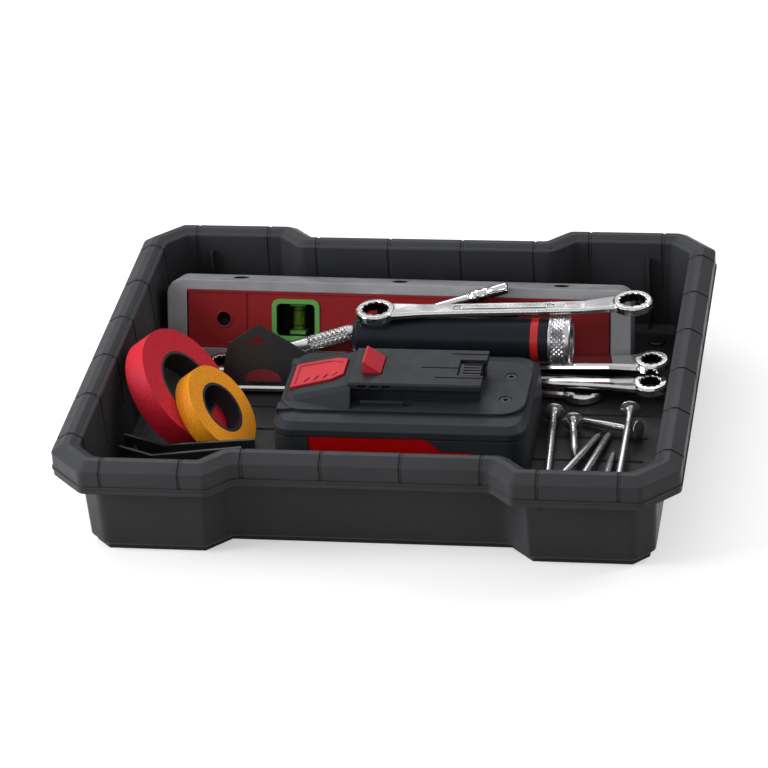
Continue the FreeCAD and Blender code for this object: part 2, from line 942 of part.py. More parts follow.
def slope_prism(outline, proud, deep):
    """Prism square to the slope, from proud above it to deep below it."""
    axis = slope_axis()
    raised = []
    for p in outline:
        raised.append(V(p.x, p.y, slope_height(p.x)) - axis * proud)
    return prism(raised, axis * (proud + deep))


def release_button():
    """Push button on the slope, with a sunk grip field and four slits."""
    block = slope_prism(button_outline(0.0), button_proud, button_deep)
    field = slope_prism(button_outline(-2.0), button_proud + 1.0, 0.4 - button_proud)
    block = block.cut(field)
    slits = []
    first = button_left + 6.0
    low_y = pack_y - button_wide + 3.0
    for step in range(4):
        x = first + step * 4.6
        line = [V(x, low_y, 0), V(x + 1.1, low_y, 0), V(x + 3.0, low_y + 3.8, 0), V(x + 1.9, low_y + 3.8, 0)]
        slits.append(slope_prism(line, 2.0, -button_proud + 0.9))
    return block.cut(Part.makeCompound(slits))


def button_pocket():
    return slope_prism(button_outline(button_gap), 6.0, button_deep + button_travel + seat_gap)


def latch():
    """Wedge hook that stands out of the slide and drops when the button is pressed."""
    z0 = pack_slide_z - latch_base
    points = [
        V(latch_left, pack_y - latch_half_width, z0),
        V(latch_left, pack_y - latch_half_width, pack_slide_z + latch_height),
        V(latch_left + 0.8, pack_y - latch_half_width, pack_slide_z + latch_height),
        V(latch_right, pack_y - latch_half_width, pack_slide_z + 0.5),
        V(latch_right, pack_y - latch_half_width, z0),
    ]
    return prism(points, V(0, 2 * latch_half_width, 0))


def latch_pocket():
    g = button_gap
    return box(latch_left - g, latch_right + g, pack_y - latch_half_width - g,
               pack_y + latch_half_width + g, pack_slide_z - latch_base - latch_travel - 0.4, pack_slide_z + 10)


def pack_cavity():
    w = pack_wall
    return rounded_box(pack_left + w, pack_right - w, pack_front + w, pack_back - w,
                       floor_top + w, pack_side_z - 1.0, pack_corner_r - w)


def seam_half(keep_upper):
    big = 200.0
    if keep_upper:
        return box(-big, big, -big, big, pack_seam_z, big)
    return box(-big, big, -big, big, -big, pack_seam_z)


def label_outline(grow):
    return [
        (label_left - grow, label_low - grow),
        (label_left - grow, label_top_z + grow),
        (label_top_right + grow, label_top_z + grow),
        (label_step_left + grow, label_step_z + grow),
        (label_step_right + grow, label_step_z + grow),
        (label_low_right + grow, label_low - grow),
    ]


def label_prism(grow, y0, y1):
    points = [V(x, y0, z) for x, z in label_outline(grow)]
    return prism(points, V(0, y1 - y0, 0))


def deck_screw_places():
    return [(deck_screw_x, pack_y + side * deck_screw_spread) for side in (1, -1)]


def screw_recess():
    cuts = []
    for x, y in deck_screw_places():
        low = (x, y, deck_z - deck_screw_deep)
        cuts.append(facet_rod(deck_screw_r, low, (x, y, deck_z + 1), ring_sides))
    return Part.makeCompound(cuts)


def pack_upper():
    shell = fuse([pack_outside(), nose(), slide_rail()])
    hollow = pack_cavity()
    shell = shell.cut(hollow).cut(button_pocket()).cut(latch_pocket())
    shell = shell.cut(screw_recess())
    ledge = box(-14.0, 7.0, pack_y - 20.5, pack_y - 18.6, deck_z - 0.2, deck_z + 2.2)
    return fuse([shell.common(seam_half(True)), ledge])


def pack_lower():
    shell = pack_outside().cut(pack_cavity())
    shell = shell.common(seam_half(False))
    groove = pack_outside().cut(pack_outside_core())
    band = box(-200, 200, -200, 200, pack_seam_z - 0.6, pack_seam_z)
    shell = shell.cut(groove.common(band))
    return shell.cut(label_prism(0.15, pack_front - 1, pack_front + 0.9))


def pack_outside_core():
    return rounded_box(pack_left + 0.5, pack_right - 0.5, pack_front + 0.5, pack_back - 0.5,
                       floor_top - 1, deck_z + 1, pack_corner_r - 0.5)


def label_panel():
    return label_prism(0.0, pack_front + 0.2, pack_front + 0.9)


def terminal_block():
    block = box(terminal_left + 0.2, pack_slide_right - 2.0, pack_y - terminal_half + 0.2,
                pack_y + terminal_half - 0.2, deck_z + 1.2, pack_slide_z - 1.5)
    slots = []
    for step in range(5):
        y = pack_y - 5.2 + step * 2.6
        slots.append(box(terminal_left + 2.0, pack_slide_right, y - 0.55, y + 0.55,
                         deck_z + 2.4, pack_slide_z))
    return block.cut(Part.makeCompound(slots))


def contacts():
    blades = []
    for step in range(5):
        y = pack_y - 5.2 + step * 2.6
        blades.append(box(terminal_left + 2.0, pack_slide_right - 3.0, y - 0.3, y + 0.3,
                          deck_z + 2.4, pack_slide_z - 2.4))
    return Part.makeCompound(blades)


def deck_screws():
    screws = []
    for x, y in deck_screw_places():
        low = deck_z - deck_screw_deep
        head = facet_rod(deck_screw_r - 0.2, (x, y, low), (x, y, deck_z - 0.3), ring_sides)
        socket = facet_rod(1.2, (x, y, low + 0.4), (x, y, deck_z + 1), 6)
        screws.append(head.cut(socket))
    return Part.makeCompound(screws)


def cells():
    made = []
    z = floor_top + pack_wall + cell_r
    for step in range(cell_count):
        x = pack_x + (step - (cell_count - 1) / 2.0) * cell_pitch
        start = (x, pack_y - cell_length / 2.0, z)
        made.append(facet_rod(cell_r, start, (x, pack_y + cell_length / 2.0, z), cell_sides))
    return Part.makeCompound(made)


def ring_level(step):
    """Height of the middle of a spanner lying step spanners above the floor."""
    return floor_top + seat_gap + ring_thick / 2.0 + step * (ring_thick + seat_gap)


torch_z = ring_level(2) + ring_thick / 2.0 + seat_gap + bezel_r
top_spanner_z = torch_z + torch_barrel_r + seat_gap + ring_thick / 2.0


def move_torch(shape):
    moved = shape.copy()
    moved.translate(V(0, torch_y, torch_z))
    return moved


def torch_barrel():
    r = torch_barrel_r
    profile = [
        (torch_left, 0), (torch_left, r - 2.6), (torch_left + 2.4, r),
        (torch_ring_x, r), (torch_ring_x, r - torch_ring_depth),
        (torch_ring_x + torch_ring_width, r - torch_ring_depth), (torch_ring_x + torch_ring_width, r),
        (torch_barrel_right, r), (torch_barrel_right, torch_spigot_r),
        (bezel_right - 5.0, torch_spigot_r), (bezel_right - 5.0, 0),
    ]
    return move_torch(revolve_x(profile))


def torch_accent():
    r = torch_barrel_r
    x0 = torch_ring_x + 0.02
    x1 = torch_ring_x + torch_ring_width - 0.02
    profile = [(x0, r - torch_ring_depth), (x0, r + 0.15), (x1, r + 0.15), (x1, r - torch_ring_depth)]
    return move_torch(revolve_x(profile))


def torch_bezel():
    inner = torch_spigot_r + running_gap
    front_inner = lens_r
    profile = [
        (bezel_left, inner), (bezel_left, bezel_r),
        (bezel_right - bezel_bevel, bezel_r), (bezel_right, bezel_r - bezel_bevel),
        (bezel_right, front_inner), (bezel_right - 1.2, front_inner), (bezel_right - 1.2, inner),
    ]
    return move_torch(revolve_x(profile))


def torch_lens():
    r = torch_spigot_r + running_gap
    x1 = bezel_right - 1.2
    profile = [(x1 - 1.6, 0), (x1 - 1.6, r), (x1, r), (x1, 0)]
    return move_torch(revolve_x(profile))


def bar_frame(shape, length_from_start):
    """Places a shape made along +X from the bar's start on the level's face."""
    dx = bar_end[0] - bar_start[0]
    dz = bar_end[1] - bar_start[1]
    angle = math.degrees(math.atan2(dz, dx))
    moved = shape.copy()
    moved.translate(V(length_from_start, 0, 0))
    settle = math.degrees(math.atan2(bar_grip_r - bar_tip_r, bar_tip_from - bar_grip_to))
    moved.rotate(V(0, 0, 0), Z_AXIS, settle)
    moved.rotate(V(0, 0, 0), Y_AXIS, -angle)
    moved.translate(V(bar_start[0], -bar_grip_r - 3 * seat_gap, bar_start[1]))
    return place_level(moved)


def bar_length():
    return math.hypot(bar_end[0] - bar_start[0], bar_end[1] - bar_start[1])


def bar_parts():
    total = bar_length()
    r = bar_grip_r
    collar = bar_collar_r
    sleeve = turned([
        (0.0, collar - 0.4), (0.5, collar), (bar_grip_from - 1.2, collar), (bar_grip_from, r),
        (bar_grip_to, r), (bar_grip_to + 1.0, collar), (bar_grip_to + 3.0, collar),
    ], bar_sides)
    bore = facet_rod(bar_rod_r, (-1.0, 0, 0), (bar_grip_to + 4.0, 0, 0), bar_sides)
    rod_end = total - 3.0
    stem = facet_rod(bar_rod_r, (0.5, 0, 0), (rod_end, 0, 0), bar_sides)
    tip = turned([
        (bar_tip_from, bar_tip_r - 0.5), (bar_tip_from + 0.6, bar_tip_r),
        (total - 0.6, bar_tip_r), (total, bar_tip_r - 0.6),
    ], bar_sides)
    sleeve = sleeve.cut(bore)
    tip = tip.cut(stem)
    return bar_frame(sleeve, 0), bar_frame(stem, 0), bar_frame(tip, 0)


def star(radius, depth, points):
    """Corners of a bi-hexagon hole."""
    corners_made = []
    for i in range(points * 2):
        r = radius if i % 2 == 0 else radius - depth
        a = math.pi * i / points
        corners_made.append(V(r * math.cos(a), r * math.sin(a), 0))
    return corners_made


def ring_head(radius, thick):
    half = thick / 2.0
    levels = [(-half, radius - 0.9), (0.9 - half, radius), (half - 0.9, radius), (half, radius - 0.9)]
    return skinned([many_sided(r, ring_sides, V(0, 0, z), Z_AXIS, X_AXIS) for z, r in levels])


def hole_cutter(hole_r, thick):
    points = [p + V(0, 0, -thick) for p in star(hole_r, hole_r * 0.13, 12)]
    return prism(points, V(0, 0, 2 * thick))


def section(x, y, z, width, thick):
    """Rounded-edge section of a spanner's shank, square to X."""
    w = width / 2.0
    t = thick / 2.0
    c = min(t * 0.55, w * 0.5)
    ys = [(-w, -t + c), (-w, t - c), (-w + c, t), (w - c, t), (w, t - c), (w, -t + c), (w - c, -t), (-w + c, -t)]
    return [V(x, y + a, z + b) for a, b in ys]


def spanner(right, left, z_right, z_left, rings, bend_z=(0.0, 0.0), side=(0.0, 0.0)):
    """Double ring spanner from the left ring's middle to the right ring's middle."""
    head_r = (rings[0][0] + rings[1][0]) / 2.0
    span = math.hypot(right[0] - left[0], right[1] - left[1])
    turn = math.degrees(math.atan2(right[1] - left[1], right[0] - left[0]))
    rise = math.degrees(math.atan2(z_right - z_left, span))
    w = shank_width
    t = shank_thick
    stations = [
        (0.0, w * 1.45, t * 1.25, side[0], bend_z[0]),
        (head_r * 1.15, w * 1.3, t * 1.15, side[0] * 0.7, bend_z[0] * 0.8),
        (head_r * 2.4, w * 1.05, t, side[0] * 0.2, bend_z[0] * 0.15),
        (span * 0.35, w, t, 0.0, 0.0),
        (span * 0.65, w, t, 0.0, 0.0),
        (span - head_r * 2.4, w * 1.05, t, side[1] * 0.2, bend_z[1] * 0.15),
        (span - head_r * 1.15, w * 1.3, t * 1.15, side[1] * 0.7, bend_z[1] * 0.8),
        (span, w * 1.45, t * 1.25, side[1], bend_z[1]),
    ]
    shank = skinned([section(x, y, z, width, thick) for x, width, thick, y, z in stations])
    heads = []
    holes = []
    for x, index in ((0.0, 0), (span, 1)):
        middle = V(x, side[index], bend_z[index])
        head = ring_head(rings[index][0], ring_thick)
        head.translate(middle)
        heads.append(head)
        hole = hole_cutter(rings[index][1], ring_thick)
        hole.translate(middle)
        holes.append(hole)
    body = fuse([shank] + heads).cut(Part.makeCompound(holes))
    panel_low = span * 0.30
    panel_high = span * 0.70
    panel = rounded_panel(panel_low, panel_high, w * 0.5, t / 2.0 - 0.35)
    body = body.cut(panel)
    body.rotate(V(0, 0, 0), Y_AXIS, -rise)
    body.rotate(V(0, 0, 0), Z_AXIS, turn)
    body.translate(V(left[0], left[1], z_left))
    return body


def rounded_panel(x0, x1, width, z):
    """Long shallow panel with pointed-round ends."""
    half = width / 2.0
    outline = [
        V(x0, 0, z), V(x0 + half * 0.3, -half * 0.7, z), V(x0 + half, -half, z), V(x1 - half, -half, z),
        V(x1 - half * 0.3, -half * 0.7, z), V(x1, 0, z), V(x1 - half * 0.3, half * 0.7, z),
        V(x1 - half, half, z), V(x0 + half, half, z), V(x0 + half * 0.3, half * 0.7, z),
    ]
    return prism(outline, V(0, 0, 3.0))


def spanners():
    low = ring_level(0)
    middle = ring_level(1)
    upper = ring_level(2)
    return {
        "long_ring_spanner": spanner(long_right, long_left, low, low, (small_ring, long_right_ring)),
        "middle_ring_spanner": spanner(middle_right, middle_left, middle, middle, (small_ring, small_ring)),
        "upper_ring_spanner": spanner(upper_right, upper_left, upper, upper, (small_ring, small_ring)),
        "top_ring_spanner": spanner(top_right, top_left, top_spanner_z + top_ring_rise, top_spanner_z,
                                    (large_ring, large_ring), bend_z=(0.2, 1.6), side=(-1.0, 0.6)),
    }


def lean_plate(sheet):
    """Stands a sheet made in the XZ plane on the lowest spanner, leaning back."""
    rest = ring_level(0) + shank_thick / 2.0 + 2 * seat_gap
    moved = sheet.copy()
    moved.rotate(V(0, 0, 0), X_AXIS, -plate_lean)
    moved.translate(V(plate_x, plate_y, rest + plate_thick * math.sin(math.radians(plate_lean))))
    return moved


def half_oval(y, wide, high):
    """Corners of a half oval standing on the plate's foot."""
    count = 12
    made = []
    for i in range(count + 1):
        a = math.pi * i / count
        made.append(V(inlay_x + wide * math.cos(a), y, plate_foot + high * math.sin(a)))
    return made


def gable_plate():
    """Thin dark plate with a peaked outline and a triangular hang hole."""
    right = plate_length / 2.0
    peak_x = -plate_length / 2.0 + peak_run
    outline = [
        (-right, 0.0), (-right, 8.5), (-right + 2.6, 19.4), (peak_x - 7.1, peak_height - 4.2),
        (peak_x, peak_height), (peak_x + 14.4, peak_height - 8.1), (right, 9.8), (right, 0.0),
    ]
    points = [V(x, 0, s) for x, s in outline]
    sheet = prism(points, V(0, plate_thick, 0))
    low = peak_height - 9.4
    hang = [V(peak_x - 6.2, -1, low), V(peak_x + 4.0, -1, low), V(peak_x - 0.8, -1, low + 3.2)]
    sheet = sheet.cut(prism(hang, V(0, plate_thick + 2, 0)))
    inlay = prism(half_oval(-1.0, inlay_half, inlay_high), V(0, 1.0 + inlay_thick, 0))
    return lean_plate(sheet.cut(inlay))


def gable_inlay():
    return lean_plate(prism(half_oval(0.0, inlay_half, inlay_high), V(0, inlay_thick, 0)))


def bracket(points, window_low):
    """Upright bent strip through three plan points, with a window near its left end."""
    height = bracket_height
    a, b, c = [V(x, y, 0) for x, y in points]
    legs = []
    for start, end in ((a, b), (b, c)):
        along = (end - start).normalize()
        across = V(-along.y, along.x, 0) * bracket_thick
        legs.append(prism([start, end, end + across, start + across], V(0, 0, height)))
    strip = fuse(legs)
    along = (b - a).normalize()
    across = V(-along.y, along.x, 0)
    hole = [
        a + along * 3.5 + V(0, 0, window_low), a + along * 8.5 + V(0, 0, window_low),
        a + along * 7.0 + V(0, 0, window_low + 6.5), a + along * 4.0 + V(0, 0, window_low + 4.5),
    ]
    hole = [p - across * 2.0 for p in hole]
    strip = strip.cut(prism(hole, across * (bracket_thick + 4.0)))
    strip.translate(V(0, 0, floor_top + seat_gap))
    return strip


def brackets():
    """Two brackets between the tray's left wall and the battery pack."""
    near_wall = bracket_inset - rim_half_x
    rear = bracket([(near_wall, -43.4), (near_wall + 21.6, -52.5), (pack_left - 7.7, -45.0)], bracket_window_low)
    front = bracket([(near_wall, -54.4), (near_wall + 17.6, -62.0), (pack_left - 12.7, -52.5)], bracket_window_low)
    return Part.makeCompound([rear, front])


def nail(head, towards, length):
    """Round nail with a flat head at head, pointing along towards."""
    body = turned([
        (0.0, nail_head_r), (nail_head_thick, nail_head_r), (nail_head_thick + 1.2, nail_r + 0.9),
        (nail_head_thick + 3.4, nail_r), (length - nail_point, nail_r), (length, nail_tip_r),
    ], nail_sides)
    axis = V(*towards).normalize()
    body.Placement = FreeCAD.Placement(V(*head), FreeCAD.Rotation(X_AXIS, axis))
    return body


def nails():
    """Nails on the floor right of the battery pack: five along Y, one across and one over it."""
    head_z = floor_top + seat_gap + nail_head_r
    tip_z = floor_top + seat_gap + nail_r
    drop = tip_z - head_z
    run = nail_length
    lying = [
        ((6.4, 14.6), (3.0, -run), nail_length),
        ((16.5, 6.4), (8.0, -run), cut_nail_length),
        ((24.2, -55.6), (11.2, run), nail_length),
        ((35.5, -74.4), (3.1, run), nail_length),
        ((14.1, -51.0), (16.3, run), cut_nail_length),
        ((49.6, -1.6), (-33.3, 15.5), short_nail_length),
    ]
    made = []
    for head, flat, length in lying:
        made.append(nail((pack_right + head[0], head[1], head_z), (flat[0], flat[1], drop), length))
    over_z = head_z + 2 * nail_r + 1.2
    made.append(nail((pack_right + 44.3, 11.2, over_z), (-1.0, -58.0, tip_z - over_z), nail_length))
    return Part.makeCompound(made)


def build():
    sleeve, stem, tip = bar_parts()
    nodes = {
        "tray_shell": tray_shell(),
        "rubber_feet": rubber_feet(),
        "foot_screws": foot_screws(),
        "level_beam": place_level(level_beam()),
        "level_panels": place_level(level_panels()),
        "level_vial_frames": place_level(vial_frames()),
        "level_vials": place_level(vials()),
        "battery_lower_shell": pack_lower(),
        "battery_upper_shell": pack_upper(),
        "battery_release_button": release_button(),
        "battery_latch": latch(),
        "battery_label_panel": label_panel(),
        "battery_terminal_block": terminal_block(),
        "battery_contacts": contacts(),
        "battery_screws": deck_screws(),
        "battery_cells": cells(),
        "torch_barrel": torch_barrel(),
        "torch_accent_ring": torch_accent(),
        "torch_bezel": torch_bezel(),
        "torch_lens": torch_lens(),
        "bar_grip": sleeve,
        "bar_rod": stem,
        "bar_tip": tip,
        "gable_plate": gable_plate(),
        "gable_plate_inlay": gable_inlay(),
        "bent_brackets": brackets(),
        "nails": nails(),
    }
    nodes.update(rolls())
    nodes.update(spanners())
    return nodes


os.makedirs("parts", exist_ok=True)
for name, shape in build().items():
    shape.exportStep(os.path.join("parts", name + ".step"))
    bounds = shape.BoundBox
    print(name, len(shape.Solids), shape.isValid(), round(shape.Volume), "z", round(bounds.ZMin, 2), round(bounds.ZMax, 2))
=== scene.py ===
import math
from collections import namedtuple

import bmesh
import bpy
from mathutils import Matrix, Vector


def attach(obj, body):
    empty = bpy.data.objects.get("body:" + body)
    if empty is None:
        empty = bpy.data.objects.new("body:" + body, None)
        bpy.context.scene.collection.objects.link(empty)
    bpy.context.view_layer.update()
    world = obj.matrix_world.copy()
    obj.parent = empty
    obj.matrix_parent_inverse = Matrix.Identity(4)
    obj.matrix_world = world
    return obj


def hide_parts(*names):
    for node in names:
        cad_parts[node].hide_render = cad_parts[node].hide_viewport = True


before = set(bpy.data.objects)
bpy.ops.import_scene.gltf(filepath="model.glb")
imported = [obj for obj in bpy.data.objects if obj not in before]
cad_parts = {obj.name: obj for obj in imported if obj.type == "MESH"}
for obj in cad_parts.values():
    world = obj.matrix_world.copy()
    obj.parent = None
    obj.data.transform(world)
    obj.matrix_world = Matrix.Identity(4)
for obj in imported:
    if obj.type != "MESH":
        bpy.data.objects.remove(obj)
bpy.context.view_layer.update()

MM = 0.001


# Materials

NODE_SAMPLES = 6


class Shader:
    """A material with a Principled surface and short ways to add nodes to it."""

    def __init__(self, name, color, rough, metal=0.0, specular=0.5):
        self.material = bpy.data.materials.new(name)
        self.material.use_nodes = True
        self.nodes = self.material.node_tree.nodes
        self.links = self.material.node_tree.links
        self.surface = self.nodes["Principled BSDF"]
        self.surface.inputs["Base Color"].default_value = (*color, 1.0)
        self.surface.inputs["Roughness"].default_value = rough
        self.surface.inputs["Metallic"].default_value = metal
        self.surface.inputs["Specular IOR Level"].default_value = specular
        self.place = self.nodes.new("ShaderNodeTexCoord")

    def set(self, socket, value):
        self.surface.inputs[socket].default_value = value
        return self

    def noise(self, scale, detail=3.0, rough=0.5, stretch=(1, 1, 1)):
        shift = self.nodes.new("ShaderNodeMapping")
        shift.inputs["Scale"].default_value = stretch
        self.links.new(self.place.outputs["Object"], shift.inputs["Vector"])
        tex = self.nodes.new("ShaderNodeTexNoise")
        tex.inputs["Scale"].default_value = scale
        tex.inputs["Detail"].default_value = detail
        tex.inputs["Roughness"].default_value = rough
        self.links.new(shift.outputs["Vector"], tex.inputs["Vector"])
        return tex.outputs["Fac"]

    def ramp(self, value, stops):
        ramp = self.nodes.new("ShaderNodeValToRGB")
        points = ramp.color_ramp.elements
        while len(points) < len(stops):
            points.new(0.5)
        for point, (at, color) in zip(points, stops):
            point.position = at
            point.color = (*color, 1.0)
        self.links.new(value, ramp.inputs["Fac"])
        return ramp.outputs["Color"]

    def spread(self, value, low, high, start=0.3, end=0.7):
        reach = self.nodes.new("ShaderNodeMapRange")
        reach.inputs["From Min"].default_value = start
        reach.inputs["From Max"].default_value = end
        reach.inputs["To Min"].default_value = low
        reach.inputs["To Max"].default_value = high
        self.links.new(value, reach.inputs["Value"])
        return reach.outputs["Result"]

    def color(self, value, stops):
        self.links.new(self.ramp(value, stops), self.surface.inputs["Base Color"])
        return self

    def roughness(self, value, low, high):
        self.links.new(self.spread(value, low, high), self.surface.inputs["Roughness"])
        return self

    def math(self, operation, first, second=None):
        node = self.nodes.new("ShaderNodeMath")
        node.operation = operation
        for value, socket in ((first, node.inputs[0]), (second, node.inputs[1])):
            if isinstance(value, (int, float)):
                socket.default_value = value
            elif value is not None:
                self.links.new(value, socket)
        return node.outputs[0]

    def axes(self):
        split = self.nodes.new("ShaderNodeSeparateXYZ")
        self.links.new(self.place.outputs["Object"], split.inputs[0])
        return split.outputs["X"], split.outputs["Y"], split.outputs["Z"]

    def painted_hollow_shade(self, distance, low, high):
        """Painted shade and light: brightness factor of hollow places and corners, from low when shut in to
        high in the open.
        """
        shut_in = self.nodes.new("ShaderNodeAmbientOcclusion")
        shut_in.samples = NODE_SAMPLES
        shut_in.inputs["Distance"].default_value = distance
        return self.spread(shut_in.outputs["AO"], low, high, 0.25, 1.0)

    def dim(self, amount):
        """Scales the brightness of the base colour by amount."""
        link = self.surface.inputs["Base Color"].links[0]
        scale = self.nodes.new("ShaderNodeHueSaturation")
        self.links.new(link.from_socket, scale.inputs["Color"])
        self.links.new(amount, scale.inputs["Value"])
        self.links.new(scale.outputs["Color"], self.surface.inputs["Base Color"])
        return self

    def relief(self, layers, edge=0.0):
        """Bump from (height, distance, strength) layers over an optional rounded edge."""
        normal = None
        if edge:
            round_off = self.nodes.new("ShaderNodeBevel")
            round_off.samples = NODE_SAMPLES
            round_off.inputs["Radius"].default_value = edge
            normal = round_off.outputs["Normal"]
        for height, distance, strength in layers:
            bump = self.nodes.new("ShaderNodeBump")
            bump.inputs["Distance"].default_value = distance
            bump.inputs["Strength"].default_value = strength
            self.links.new(height, bump.inputs["Height"])
            if normal:
                self.links.new(normal, bump.inputs["Normal"])
            normal = bump.outputs["Normal"]
        if normal:
            self.links.new(normal, self.surface.inputs["Normal"])
        return self


def shade(color, amount):
    """Dark, plain and light stops of one colour."""
    low = tuple(c * (1.0 - amount) for c in color)
    high = tuple(min(1.0, c * (1.0 + amount)) for c in color)
    return [(0.25, low), (0.5, color), (0.75, high)]


def moulded(name, color, rough=0.5, grain=2600.0, depth=0.00006, edge=0.0006, vary=0.12, specular=0.45):
    """Moulded plastic: fine spark-eroded grain, slow colour drift and softened edges."""
    m = Shader(name, color, rough, specular=specular)
    drift = m.noise(28.0, 4.0)
    fine = m.noise(grain, 2.0, 0.6)
    m.color(drift, shade(color, vary))
    m.roughness(m.noise(160.0, 3.0), rough - 0.06, rough + 0.06)
    m.relief([(fine, depth, 0.35)], edge)
    return m


def metal(name, color, rough, edge=0.0003, brush=(1, 1, 1), scratch=0.15, metallic=1.0):
    """Metal with slight brushing, smears in its roughness and softened edges."""
    m = Shader(name, color, rough, metal=metallic)
    smear = m.noise(90.0, 4.0)
    m.roughness(smear, max(0.02, rough - 0.05), rough + 0.08)
    streak = m.noise(900.0, 2.0, 0.5, brush)
    m.color(m.noise(45.0, 3.0), shade(color, 0.06))
    m.relief([(streak, 0.00002, scratch)], edge)
    return m


def wound(name, color, dark, light):
    """Tape winding: dense speckle over the colour, as crepe paper edges show."""
    m = Shader(name, color, 0.62, specular=0.3)
    speck = m.noise(1350.0, 3.0, 0.75)
    m.color(speck, [(0.36, dark), (0.46, color), (0.58, color), (0.72, light)])
    m.relief([(speck, 0.00012, 0.45), (m.noise(420.0, 2.0), 0.00008, 0.25)], 0.0003)
    return m


# Tray plastic: painted shade darkens its hollow places and painted light brightens its open faces, and thin
# lines of painted shade run along both edges of each groove that crosses the rim

GROOVE_PITCH = 37.0
GROOVE_WIDTH = 1.5
TOWER_GROOVE_X = 82.4
GROOVE_XS = (0.5 * GROOVE_PITCH, 1.5 * GROOVE_PITCH, TOWER_GROOVE_X, TOWER_GROOVE_X + GROOVE_PITCH)
GROOVE_YS = (0.5 * GROOVE_PITCH, 1.5 * GROOVE_PITCH, 2.5 * GROOVE_PITCH)
RIM_FROM_X = 121.0
RIM_FROM_Y = 98.0
RIM_FROM_Z = 43.5
GROOVE_SHADE_HALF_WIDTH = 0.2
GROOVE_SHADE_DARKNESS = 0.6


def painted_groove_shade(m):
    """Brightness factor of painted shade: lower on a pair of thin lines along the edges of each groove
    across the tray's rim.
    """
    x, y, z = m.axes()
    across = m.math("ABSOLUTE", x)
    along = m.math("ABSOLUTE", y)

    def pairs(value, places):
        near = None
        for at in places:
            off = m.math("ABSOLUTE", m.math("SUBTRACT", value, at * MM))
            off = m.math("ABSOLUTE", m.math("SUBTRACT", off, GROOVE_WIDTH / 2.0 * MM))
            near = off if near is None else m.math("MINIMUM", near, off)
        return m.math("LESS_THAN", near, GROOVE_SHADE_HALF_WIDTH * MM)

    ends = m.math("MULTIPLY", pairs(across, GROOVE_XS), m.math("GREATER_THAN", along, RIM_FROM_Y * MM))
    sides = m.math("MULTIPLY", pairs(along, GROOVE_YS), m.math("GREATER_THAN", across, RIM_FROM_X * MM))
    lines = m.math("MULTIPLY", m.math("MAXIMUM", ends, sides), m.math("GREATER_THAN", z, RIM_FROM_Z * MM))
    return m.math("SUBTRACT", 1.0, m.math("MULTIPLY", lines, GROOVE_SHADE_DARKNESS))


charcoal = moulded("tray_charcoal", (0.036, 0.037, 0.040), rough=0.44, grain=2400.0, edge=0.0011,
                   vary=0.10, specular=0.14)
# Painted shade and light: the tray's colour darkens in hollow places and along the groove edges, and grows
# lighter on open faces
charcoal.dim(charcoal.math("MULTIPLY", charcoal.painted_hollow_shade(0.035, 0.50, 1.25), painted_groove_shade(charcoal)))

# Plastics and rubber

battery_grain = moulded("battery_charcoal", (0.026, 0.028, 0.032), rough=0.46, grain=3000.0, edge=0.0007,
                        specular=0.16)
dark_core = moulded("core_black", (0.018, 0.018, 0.020), rough=0.55, edge=0.0003)
foot_rubber = moulded("foot_rubber", (0.012, 0.012, 0.012), rough=0.8, edge=0.0004)
contact_black = moulded("contact_black", (0.018, 0.018, 0.020), rough=0.5, edge=0.0003)
button_red = moulded("button_red", (0.50, 0.022, 0.034), rough=0.48, grain=3000.0, depth=0.00008,
                     edge=0.0006, vary=0.08, specular=0.25)
label_red = moulded("label_red", (0.44, 0.002, 0.003), rough=0.4, grain=1500.0, edge=0.0002, vary=0.06,
                    specular=0.1)
ring_red = moulded("ring_red", (0.52, 0.016, 0.020), rough=0.28, edge=0.0002)
# Painted reflection: the plate's inlay is dark red, standing for red reflected in chrome behind the plate's
# foot, and its strong random tone stands for glints
plate_red = moulded("plate_red", (0.20, 0.016, 0.024), rough=0.35, edge=0.0002, vary=0.35)
cell_wrap = moulded("cell_wrap", (0.06, 0.16, 0.30), rough=0.35)
# Near-black used as painted shade in the level's holes, panel gap and vial windows, and as the vials' own
# dark lines
shade_and_line_black = moulded("shade_and_line_black", (0.006, 0.006, 0.007), rough=0.6, edge=0.0, specular=0.1)

# Level panel and vial frames: only the left frame is green, and the other two take the panel's red

LEVEL_RED = (0.27, 0.014, 0.016)
FRAME_GREEN = (0.115, 0.36, 0.075)
GREEN_UP_TO_X = -35.0
level_red = moulded("level_red", LEVEL_RED, rough=0.45, grain=2400.0, edge=0.0003, vary=0.10, specular=0.2)
frame_green = moulded("frame_green", FRAME_GREEN, rough=0.35, edge=0.0004, specular=0.3)
past_left_frame = frame_green.math("GREATER_THAN", frame_green.axes()[0], GREEN_UP_TO_X * MM)
frame_green.color(past_left_frame, [(0.0, FRAME_GREEN), (1.0, LEVEL_RED)])

# Tapes

tape_red = wound("tape_red", (0.60, 0.010, 0.028), (0.30, 0.004, 0.014), (0.80, 0.040, 0.070))
tape_orange = wound("tape_orange", (0.95, 0.35, 0.009), (0.55, 0.17, 0.004), (1.0, 0.55, 0.05))

# Metals

